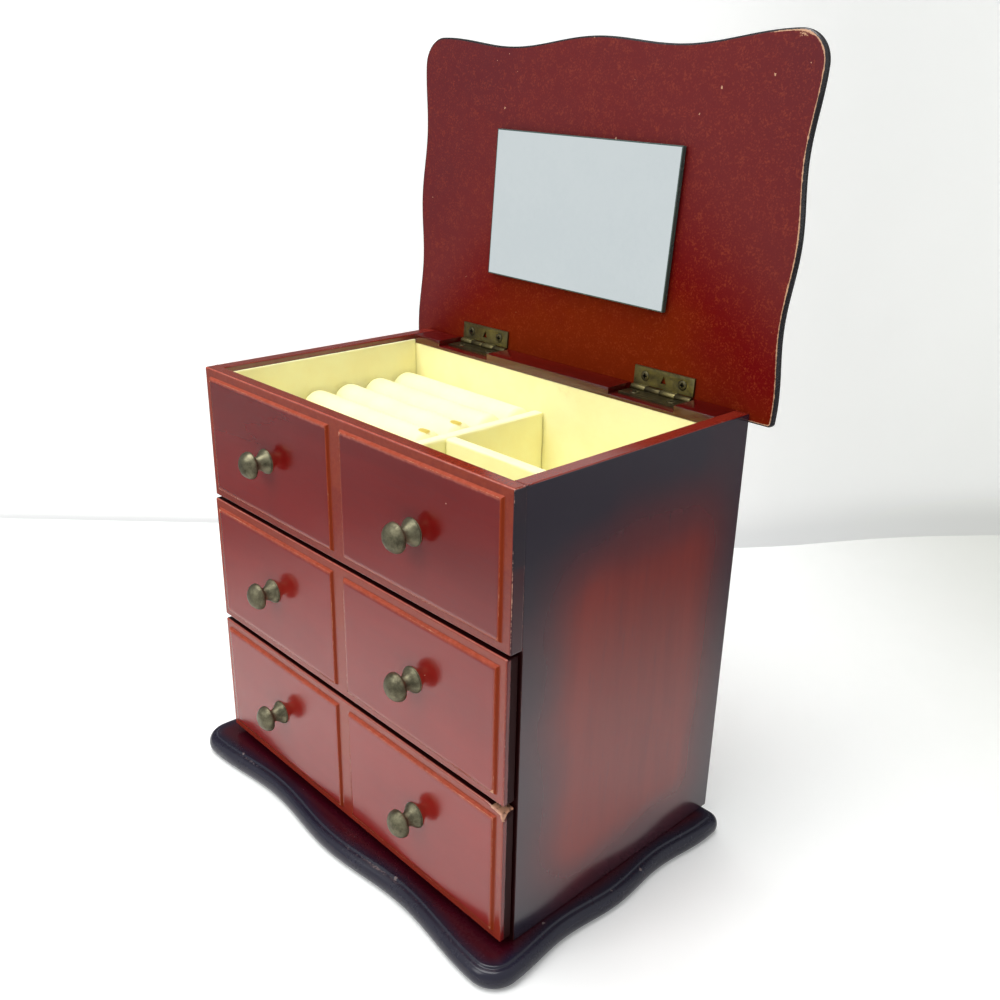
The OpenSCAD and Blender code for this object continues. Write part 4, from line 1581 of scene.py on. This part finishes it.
@dataclass
class Knob:
    """A turned pewter knob: a flared foot, a waist and a domed head."""

    node: str
    body: Body
    finish: bpy.types.Material
    seed: int
    shift: tuple[float, float] = (0.0, 0.0)
    profile: tuple[tuple[float, float], ...] = (
        (0.0, 0.0),
        (4.1, 0.0),
        (4.3, 0.15),
        (4.3, 0.55),
        (3.9, 1.0),
        (3.1, 1.9),
        (2.55, 2.8),
        (2.3, 3.6),
        (2.25, 4.3),
        (2.5, 4.9),
        (3.3, 5.4),
        (4.4, 5.7),
        (4.75, 6.1),
        (4.7, 6.7),
        (4.4, 7.5),
        (3.75, 8.3),
        (2.8, 9.0),
        (1.5, 9.45),
        (0.0, 9.6),
    )

    def build(self) -> None:
        """Turns the knob, dents it slightly and sets it on its front."""
        low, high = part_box(self.node)
        centre = (low + high) / 2
        knob = turned([(r * MM, h * MM) for r, h in self.profile], steps=56)
        knob.points *= 1 + 0.014 * soft_noise(knob.points, 0.0024, self.seed)[:, None]
        knob.points[:, 2] = np.clip(knob.points[:, 2], 0.0, high.y - low.y)
        x, z = centre.x + self.shift[0], centre.z + self.shift[1]
        place = Matrix.Translation((x, high.y, z)) @ Matrix.Rotation(math.pi / 2, 4, "X")
        placed = knob.placed(place)
        placed.piece(self.node + "_turned", self.body, Slot.PEWTER, self.finish, [self.node])


def velvet_card(card: Surface, node: str, body: Body, velvet: bpy.types.Material) -> None:
    """Makes a card covered in velvet a padded piece, with no foam showing.

    Args:
        card: The card.
        node: The CAD node that it replaces.
        body: The body that it rides on.
        velvet: Its material.
    """
    card.values["foam"] = np.zeros(len(card.points))
    piece = card.piece(node + "_velvet", body, Slot.VELVET, velvet, [node])


@dataclass
class Tray:
    """The lined tray: cards, dividers, the block and the ring rolls, all in velvet."""

    finishes: Finishes
    rolls: int = 6
    bare_rolls: tuple[int, ...] = (2, 3)
    gap: float = 0.00035
    swell: float = 0.00018

    def build(self) -> None:
        """Makes every piece of the tray."""
        for index, side in enumerate(("floor", "left", "right", "front", "back")):
            self.card(f"lining_{side}", 0.0004, 0.0018, index)
        self.card("divider_long", 0.0012, 0.0012, 11)
        self.card("divider_short", 0.0012, 0.0012, 12)
        self.card("roll_block", 0.0006, 0.003, 13)
        self.ring_rolls()

    def card(self, node: str, radius: float, step: float, seed: int) -> None:
        """Makes a card covered in velvet, a little uneven, and no bigger than its node.

        Args:
            node: The CAD node.
            radius: Radius of its edges.
            step: Distance of its grid's lines.
            seed: Number that picks its unevenness.
        """
        low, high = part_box(node)
        card = rounded_box(low, high, radius, step)
        sunk = self.swell * (soft_noise(card.points, 0.009, seed) * 0.5 + 0.5)
        middle = np.array((low + high) / 2)
        size = np.array(high - low) / 2
        inward = (middle - card.points) / size
        square = np.abs(inward) > 0.97
        free = card.values["edge"][:, None] > 0.6
        card.points += np.where(square & free, np.sign(inward) * sunk[:, None], 0)
        velvet_card(card, node, Body.CASE, self.finishes.velvet)

    def ring_rolls(self) -> None:
        """Makes the row of ring rolls from the node's box.

        Formula: a roll's radius is constant along its length, and within the draw of each end it
        shrinks by up to 0.3 times one minus the inset, to the power 2.4. Below the node it is flat.
        """
        low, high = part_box("ring_rolls")
        pitch = (high.y - low.y + self.gap) / self.rolls
        radius = (pitch - self.gap) / 2
        length = high.x - low.x
        draw = 0.0026
        start = draw * (1 - np.cos(np.linspace(0, math.pi / 2, 12)))
        middle = np.linspace(draw, length - draw, 34)[1:-1]
        at = np.concatenate([start, middle, length - start[::-1]])
        inset = np.clip(np.minimum(at, length - at) / draw, 0, 1)
        crown = radius * (1 - 0.30 * (1 - inset) ** 2.4)
        ends = np.linspace(0, 1, 8)[:-1]
        profile = [(crown[0] * e, 0.0) for e in ends] + list(zip(crown, at))
        profile += [(crown[-1] * e, length) for e in ends[::-1]]
        for number in range(self.rolls):
            self.ring_roll(number, profile, radius, pitch, low, high)

    def ring_roll(
        self,
        number: int,
        profile: list[tuple[float, float]],
        radius: float,
        pitch: float,
        low: Vector,
        high: Vector,
    ) -> None:
        """Makes one ring roll.

        Args:
            number: Its place in the row, from the front.
            profile: Radius and distance pairs along it.
            radius: Its radius.
            pitch: Distance from roll to roll.
            low: Lowest corner of the row.
            high: Highest corner of the row.
        """
        roll = turned(profile, steps=64, smooth=1)
        x = roll.points[:, 2].copy()
        out = np.linalg.norm(roll.points[:, :2], axis=1)
        end = (x > (high.x - low.x) - 0.0012) | (x < 0.0012)
        roll.values["foam"] = np.where(end, np.clip(1.25 - out / (radius * 0.62), 0, 1), 0.0)
        if number in self.bare_rolls:
            over = np.hypot(roll.points[:, 1] / 0.0022, (x - high.x + low.x + 0.0032) / 0.0028)
            spot = np.clip(1.4 - over, 0, 1) * (roll.points[:, 0] < 0)
            roll.values["foam"] = np.maximum(roll.values["foam"], spot)
        lump = 1 - 0.022 * (soft_noise(roll.points, 0.011, 30 + number) * 0.5 + 0.5)
        roll.points[:, :2] *= lump[:, None]
        place = Matrix.Translation((low.x, low.y + radius + number * pitch, high.z - radius))
        roll = roll.placed(place @ Matrix.Rotation(math.pi / 2, 4, "Y"))
        roll.points[:, 2] = np.maximum(roll.points[:, 2], low.z)
        stands = ["ring_rolls"] if number == 0 else []
        piece = roll.piece(
            f"ring_roll_{number + 1}", Body.CASE, Slot.VELVET, self.finishes.velvet, stands
        )


@dataclass
class Drawer:
    """A drawer: its front with two knobs, and the box behind it."""

    name: str
    body: Body
    finishes: Finishes
    # Painted floor reflection on the front, partly hazy varnish, at the bottom and at the top.
    haze_and_reflection: tuple[float, float]
    chipped: bool = False

    def build(self) -> None:
        """Makes the front, the knobs, the boards and the lining."""
        front = f"{self.name}_drawer_front"
        Front(front, self.body, self.finishes.front, haze_and_reflection=self.haze_and_reflection, chipped=self.chipped).build()
        boards = dict.fromkeys(("side_left", "side_right", "bottom"), self.finishes.board)
        boards["back"] = self.finishes.cross_board
        for part, finish in boards.items():
            node = f"{self.name}_drawer_{part}"
            Board(node, self.body, Slot.BOARD, finish).build()
        knobs(self.name, self.body, self.finishes)
        node = f"{self.name}_drawer_liner"
        low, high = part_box(node)
        liner = rounded_box(low, high, radius=0.0003, step=0.003)
        velvet_card(liner, node, self.body, self.finishes.velvet)


def knobs(name: str, body: Body, finishes: Finishes) -> None:
    """Makes the two knobs of a front and dresses their screws.

    Args:
        name: First word of the nodes' names.
        body: The body that they ride on.
        finishes: The materials.
    """
    drop = {"top": -0.0006, "mid": 0.0003, "low": 0.0003}[name]
    for seed, side in enumerate(("left", "right")):
        node = f"{name}_knob_{side}"
        Knob(node, body, finishes.pewter, seed + 3 * len(node), (-0.0007, drop)).build()
    dressed(f"{name}_knob_screws", finishes.steel)


@dataclass
class Lid:
    """The waved lid board with its mirror and tape, built shut and turned open."""

    finishes: Finishes
    plan: WavedPlan = field(default_factory=WavedPlan)
    thickness: float = 0.0026
    face: float = 0.00125
    tail: float = 0.0022
    reach: float = 0.11392
    round_edge: float = 0.0007
    mirror_half: tuple[float, float] = (0.043, 0.0265)
    mirror_thickness: float = 0.0018
    tape: float = 0.0005
    mirror_at: float = 0.05466
    skew: float = math.radians(1.3)

    def opened(self) -> Matrix:
        """The turn from shut, drawn round the hinge axis as X axis, to the open lid."""
        return Matrix.Translation(HINGE_AXIS) @ Matrix.Rotation(-LID_OPEN, 4, "X")

    def build(self) -> None:
        """Makes the board, the mirror and the tape."""
        line = self.plan.line(-self.reach, self.reach + self.tail, 0.0015)
        board = moulded_board(line, self.profile())
        x, y, z = board.points.T
        inward = board.values["inward"]
        height = z - self.face
        board.values["inner"] = np.clip(1 - height / self.thickness, 0, 1)
        board.values["rim"] = np.clip(1.6 - inward / 0.6, 0, 1)
        lower = 1 - (-y / self.reach)
        beside = (x / self.plan.half_width - 0.15) ** 2
        board.values["glow"] = np.clip(0.25 + 0.85 * lower**1.6 - 0.5 * beside, 0, 1)
        board.values["halo"] = np.clip(1 - inward / 26, 0, 1)
        board.values["chip"] = self.chips(x, y, inward, height)
        lid = board.placed(self.opened())
        lid.piece("lid_board", Body.LID, Slot.LACQUER, self.finishes.lid, ["lid_panel"])
        self.mirror()
        dressed("mirror_tape", self.finishes.tape)

    def profile(self) -> np.ndarray:
        """Works out the rounded edge of the board: a quarter circle below and one above.

        Returns:
            Rows of inset and height above the hinge axis.
        """
        a = np.linspace(-math.pi / 2, 0, 5)
        r = self.round_edge
        lower = np.stack([r * (1 - np.cos(a)), self.face + r * (1 + np.sin(a))], 1)
        upper = lower[::-1] * [1, -1] + [0, 2 * self.face + self.thickness]
        return np.vstack([lower, upper])

    def chips(
        self, x: np.ndarray, y: np.ndarray, inward: np.ndarray, height: np.ndarray
    ) -> np.ndarray:
        """Says where the edge is worn bare: all down the right edge, and at its top corner.

        Args:
            x: Across the lid.
            y: Along the shut lid.
            inward: Distance from the outline in millimetres.
            height: Height above the inner face.

        Returns:
            A value from 0 to 1 per point.
        """
        line = np.clip(1 - np.abs(inward - 0.7) / 0.42, 0, 1) * (height < 0.0009)
        right = np.clip((x - 0.055) / 0.02, 0, 1)
        top = np.clip((-y - self.reach + 0.02) / 0.02, 0, 1) * 0.3
        corner = np.hypot((x - 0.080) / 0.0035, (y + self.reach - 0.0025) / 0.0022)
        near = np.clip(1.0 - corner, 0, 1) * np.clip(1.6 - inward / 2.2, 0, 1)
        burst = 0.85 * near * (height < 0.002)
        return np.clip(line * np.maximum(right * 0.72, top) + burst, 0, 1)

    def mirror(self) -> None:
        """Makes the glass, its front silvered up to a narrow ground edge."""
        half_x, half_y = self.mirror_half
        low = (-half_x, -half_y, 0.0)
        high = (half_x, half_y, self.mirror_thickness)
        ground = (0.0004, 0.00046)
        lines = [(-half + b, half - b) for half in self.mirror_half for b in ground]
        extra = (lines[0] + lines[1], lines[2] + lines[3], ())
        glass = rounded_box(low, high, radius=0.0002, step=0.004, extra=extra)
        front = (glass.points[:, 2] < 0.00002) & (glass.values["edge"] > 0.43)
        glass.values["front"] = front.astype(float)
        back = self.face - self.tape - self.mirror_thickness
        place = Matrix.Translation((0, -self.mirror_at, back)) @ Matrix.Rotation(self.skew, 4, "Z")
        glass = glass.placed(self.opened() @ place)
        glass.piece("mirror_plate", Body.LID, Slot.MIRROR, self.finishes.mirror, ["mirror_glass"])


@dataclass
class Hinges:
    """Two small aged brass hinges with their cross-head screws."""

    finishes: Finishes
    rim_plane: float = 0.00045
    cross_depth: float = 0.0006

    def build(self) -> None:
        """Makes leaves and screws with eased edges, and dresses the pins."""
        brass, brass_in_shade = self.finishes.brass, self.finishes.brass_shaded_copy
        for side in ("left", "right"):
            # The case leaves take the darker copy of the brass, as painted shade.
            leaves = (("case_leaf", Body.CASE, brass_in_shade), ("lid_leaf", Body.LID, brass))
            for part, body, finish in leaves:
                softened(f"hinge_{side}_{part}", body, finish, width=0.00012)
            dressed(f"hinge_{side}_pin", brass)
        for part, body, turn in (("case", Body.CASE, 0.0), ("lid", Body.LID, LID_OPEN)):
            node = f"hinge_{part}_screws"
            dirt_and_shade_at = self.dirt_and_shade_at(turn, 1 if body is Body.CASE else -1)
            softened(node, body, self.finishes.steel, width=0.00005, dirt_and_shade_at=dirt_and_shade_at)

    def dirt_and_shade_at(self, turn: float, side: int) -> Callable[[np.ndarray], np.ndarray]:
        """Says where heads go dark: dirt and painted shade in the cross of each head, painted shade
        round its rim.

        Formula: a point is turned back about the hinge axis and measured from the plane of the
        rims. Just below that plane lies the floor of the cross, and on it the rim.

        Args:
            turn: How far the leaf stands open, in radians.
            side: 1 for heads that look up when the lid is shut, or -1.

        Returns:
            The function of points.
        """
        back = Matrix.Rotation(turn, 4, "X") @ Matrix.Translation(-HINGE_AXIS)

        def darkened(points: np.ndarray) -> np.ndarray:
            """Works out how dark dirt and painted shade make points.

            Args:
                points: Points as rows of three.

            Returns:
                One value from 0 to 1 per point.
            """
            m = np.array(back)
            height = (points @ m[:3, :3].T + m[:3, 3])[:, 2] * side + self.rim_plane
            floor = (height > -self.cross_depth) & (height < -0.00005)
            rim = np.abs(height) < 0.00004
            # Painted shade with dirt: full in the cross, three quarters round the rim.
            return np.where(floor, 1.0, np.where(rim, 0.75, 0.0))

        return darkened


# The studio.


@dataclass(frozen=True)
class Lamp:
    """A soft square lamp that points at the box."""

    name: str
    place: tuple[float, float, float]
    size: float
    power: float

    def build(self) -> None:
        """Hangs the lamp."""
        light = bpy.data.lights.new(self.name, "AREA")
        light.shape = "SQUARE"
        light.size = self.size
        light.energy = self.power
        lamp = bpy.data.objects.new(self.name, light)
        lamp.location = self.place
        aim = Vector((0, 0, 0.12)) - Vector(self.place)
        lamp.rotation_mode = "QUATERNION"
        lamp.rotation_quaternion = aim.to_track_quat("-Z", "Y")
        bpy.context.scene.collection.objects.link(lamp)


@dataclass(frozen=True)
class Paper:
    """White paper with painted shade to the right and rear, clear from behind; to shiny pieces it
    glows a little near the box as painted light and is dim further away as painted shade.

    Its lift is how much paler it looks than its light makes it.
    """

    name: str
    lift: float
    white: Colour = rgb(243, 244, 242)
    whiter: Colour = rgb(249, 249, 248)
    # Colour of the painted shade on the table towards the right and rear.
    shaded: Colour = rgb(206, 207, 200)
    dim: Colour = rgb(122, 118, 119)
    far_dim: Colour = rgb(148, 144, 145)
    glow: Colour = rgb(255, 255, 254)

    def made(self) -> bpy.types.Material:
        """Builds the material.

        Returns:
            The material.
        """
        material, nodes = bare_material(self.name)
        place = nodes.object_place()
        speck = nodes.noise(place, 40.0, detail=4.0, rough=0.6)
        colour = nodes.mix(speck, self.white, self.whiter)
        part = nodes.add("ShaderNodeSeparateXYZ", {0: place})
        # Painted shade: the table darkens towards the right and the rear, and the hung sheet a
        # quarter as much.
        painted_falloff = nodes.ramp(nodes.reckon("ADD", part.outputs[0], part.outputs[1]), 0.15, 0.5)
        painted_falloff = nodes.reckon("MULTIPLY", painted_falloff, nodes.ramp(part.outputs[2], 0.0, 0.03, 1.0, 0.25))
        colour = nodes.mix(painted_falloff, colour, self.shaded)
        away = nodes.add("ShaderNodeVectorMath", {0: place}, operation="LENGTH")
        path = nodes.add("ShaderNodeLightPath")
        mirrored = path.outputs["Is Glossy Ray"]
        far = nodes.ramp(away.outputs["Value"], 0.10, 0.36)
        beyond = nodes.ramp(away.outputs["Value"], 0.38, 0.55)
        dim = nodes.mix(beyond, self.dim, self.far_dim)
        # Painted shade in reflections: shiny pieces see the paper dim away from the box.
        colour = nodes.mix(nodes.reckon("MULTIPLY", far, mirrored), colour, dim)
        # Painted light in reflections: near the box, shiny pieces see the paper glow a little.
        near = nodes.reckon("MULTIPLY", nodes.reckon("SUBTRACT", 1.0, far), mirrored)
        direct = (path.outputs["Is Camera Ray"], path.outputs["Is Transmission Ray"])
        seen = nodes.reckon("MULTIPLY", nodes.reckon("MAXIMUM", *direct), self.lift)
        behind = nodes.add("ShaderNodeNewGeometry").outputs["Backfacing"]
        feeds = {
            "Base Color": colour,
            "Roughness": 0.8,
            "Specular IOR Level": 0.1,
            "Emission Color": self.glow,
            "Emission Strength": nodes.reckon("MULTIPLY_ADD", near, 0.04, seen),
            "Alpha": nodes.reckon("SUBTRACT", 1.0, behind),
        }
        closed_with(nodes, feeds)
        return material


@dataclass
class Studio:
    """A pale table top, a pale sheet hung behind it, the table beyond, a sky and two lamps.

    The table's rear edge lies square to the camera's view, a quarter metre behind the box. A gap
    parts it from the hung sheet, and the table beyond carries on behind that sheet.
    """

    turn: float = math.radians(46.31)
    sky: float = 0.5
    seen_sky: float = 0.825
    sky_tone: Colour = rgb(249, 252, 254)
    half: float = 3.0
    left: float = 1.0
    rear: float = 0.250
    rise: float = 1.1
    lamps: tuple[Lamp, ...] = (
        Lamp("key_lamp", (-0.3, -1.25, 1.1), size=0.7, power=6.5),
        Lamp("top_lamp", (-0.2, -0.2, 1.6), size=1.0, power=20.0),
    )

    def build(self) -> None:
        """Sets the sky, the sheets, the lamps and the plain view transform."""
        self.light_sky()
        self.lay_sheets()
        for lamp in self.lamps:
            lamp.build()
        bpy.context.scene.view_settings.view_transform = "Standard"

    def light_sky(self) -> None:
        """Makes an even sky that is paler where it is seen than it lights."""
        world = bpy.data.worlds.new("even_sky")
        bpy.context.scene.world = world
        world.use_nodes = True
        nodes = Nodes(world.node_tree)
        path = nodes.add("ShaderNodeLightPath")
        seen = nodes.reckon("MAXIMUM", path.outputs["Is Camera Ray"], path.outputs["Is Glossy Ray"])
        seen = nodes.reckon("MAXIMUM", seen, path.outputs["Is Transmission Ray"])
        strength = nodes.ramp(seen, 0.0, 1.0, self.sky, self.seen_sky)
        feeds = {"Color": self.sky_tone, "Strength": strength}
        sky = nodes.add("ShaderNodeBackground", feeds)
        nodes.add("ShaderNodeOutputWorld", {"Surface": sky.outputs[0]})

    def lay_sheets(self) -> None:
        """Lays the table, hangs the sheet behind its edge and lays the table beyond."""
        across = np.concatenate([[-self.left], np.linspace(-0.45, 0.55, 60), [self.half]])
        edge = self.edge(across)
        parted = edge + 0.004 + 0.018 * np.clip((across + 0.1) / 0.3, 0, 1)
        far = np.full(len(across), self.half)
        height = np.concatenate([np.linspace(-0.2, 0.05, 6), [self.rise]])
        level = np.zeros(2)
        hung = np.repeat(parted[:, None], len(height), 1)
        self.sheet("studio_table", across, np.stack([-far, edge], 1), level, 0.14)
        self.sheet("studio_sheet", across, hung, height, 0.25)
        self.sheet("studio_table_beyond", across, np.stack([parted, far], 1), level, 0.06)

    def edge(self, across: np.ndarray) -> np.ndarray:
        """Works out the table's rear edge: straight, with a shallow bow and a slant at the right.

        Formula: the bow is a bell curve 22 mm deep about a line 140 mm to the right, and the slant
        adds 0.055 of the distance beyond 200 mm, for 400 mm.

        Args:
            across: Distances to the right of the box's middle.

        Returns:
            One depth per distance.
        """
        bow = 0.022 * np.exp(-(((across - 0.140) / 0.090) ** 2))
        return self.rear - bow + 0.055 * np.clip(across - 0.2, 0, 0.4)

    def sheet(
        self, name: str, across: np.ndarray, depth: np.ndarray, height: np.ndarray, lift: float
    ) -> bpy.types.Object:
        """Makes one sheet of the studio.

        Args:
            name: Its name.
            across: One distance to the right per row.
            depth: Distance behind the box's middle, by row and column.
            height: Height by column.
            lift: How much paler it looks than its light makes it.

        Returns:
            The sheet.
        """
        right = np.array([math.cos(self.turn), math.sin(self.turn)])
        behind = np.array([-math.sin(self.turn), math.cos(self.turn)])
        flat = across[:, None, None] * right + depth[..., None] * behind
        level = np.broadcast_to(height, depth.shape)[..., None]
        points = np.concatenate([flat, level], -1).reshape(-1, 3)
        mesh = bpy.data.meshes.new(name)
        mesh.from_pydata(points.tolist(), [], grid_quads(*depth.shape)[:, ::-1].tolist())
        mesh.polygons.foreach_set("use_smooth", np.ones(len(mesh.polygons), bool))
        sheet = bpy.data.objects.new(name, mesh)
        bpy.context.scene.collection.objects.link(sheet)
        mesh.materials.append(Paper(name, lift).made())
        return sheet


@dataclass(frozen=True)
class PhotoCamera:
    """The camera, where the photograph's edges meet the box's."""

    place: tuple[float, float, float] = (0.2542, -0.2238, 0.2540)
    azimuth: float = math.radians(46.31)
    elevation: float = math.radians(21.74)
    roll: float = math.radians(1.21)
    lens: float = 37.09

    def build(self) -> None:
        """Sets the camera."""
        az, el = self.azimuth, self.elevation
        back = Vector((math.sin(az) * math.cos(el), -math.cos(az) * math.cos(el), math.sin(el)))
        right = (-back).cross(Vector((0, 0, 1))).normalized()
        up = right.cross(-back)
        turned_right = right * math.cos(self.roll) + up * math.sin(self.roll)
        turned_up = up * math.cos(self.roll) - right * math.sin(self.roll)
        data = bpy.data.cameras.new("photo_camera")
        data.lens = self.lens
        data.sensor_width = 36.0
        data.clip_start, data.clip_end = 0.01, 20.0
        camera = bpy.data.objects.new("photo_camera", data)
        turn = Matrix((turned_right, turned_up, back)).transposed().to_4x4()
        camera.matrix_world = Matrix.Translation(self.place) @ turn
        bpy.context.scene.collection.objects.link(camera)
        bpy.context.scene.camera = camera


def main() -> None:
    """Builds the camera, the studio and every piece of the box in order."""
    logging.basicConfig(level=logging.INFO, format="%(name)s %(message)s")
    PhotoCamera().build()
    Studio().build()
    finishes = Finishes()
    Plinth(finishes).build()
    Case(finishes).build()
    # Each front's pair is its painted floor reflection, partly hazy varnish, at its bottom and top;
    # the lower fronts carry more.
    Front("top_front", Body.CASE, finishes.front, haze_and_reflection=(0.16, 0.06), loose=0.0).build()
    knobs("top", Body.CASE, finishes)
    Tray(finishes).build()
    Drawer("mid", Body.MID_DRAWER, finishes, haze_and_reflection=(0.44, 0.32)).build()
    Drawer("low", Body.LOW_DRAWER, finishes, haze_and_reflection=(0.46, 0.46), chipped=True).build()
    Hinges(finishes).build()
    Lid(finishes).build()


if __name__ == "__main__":
    main()
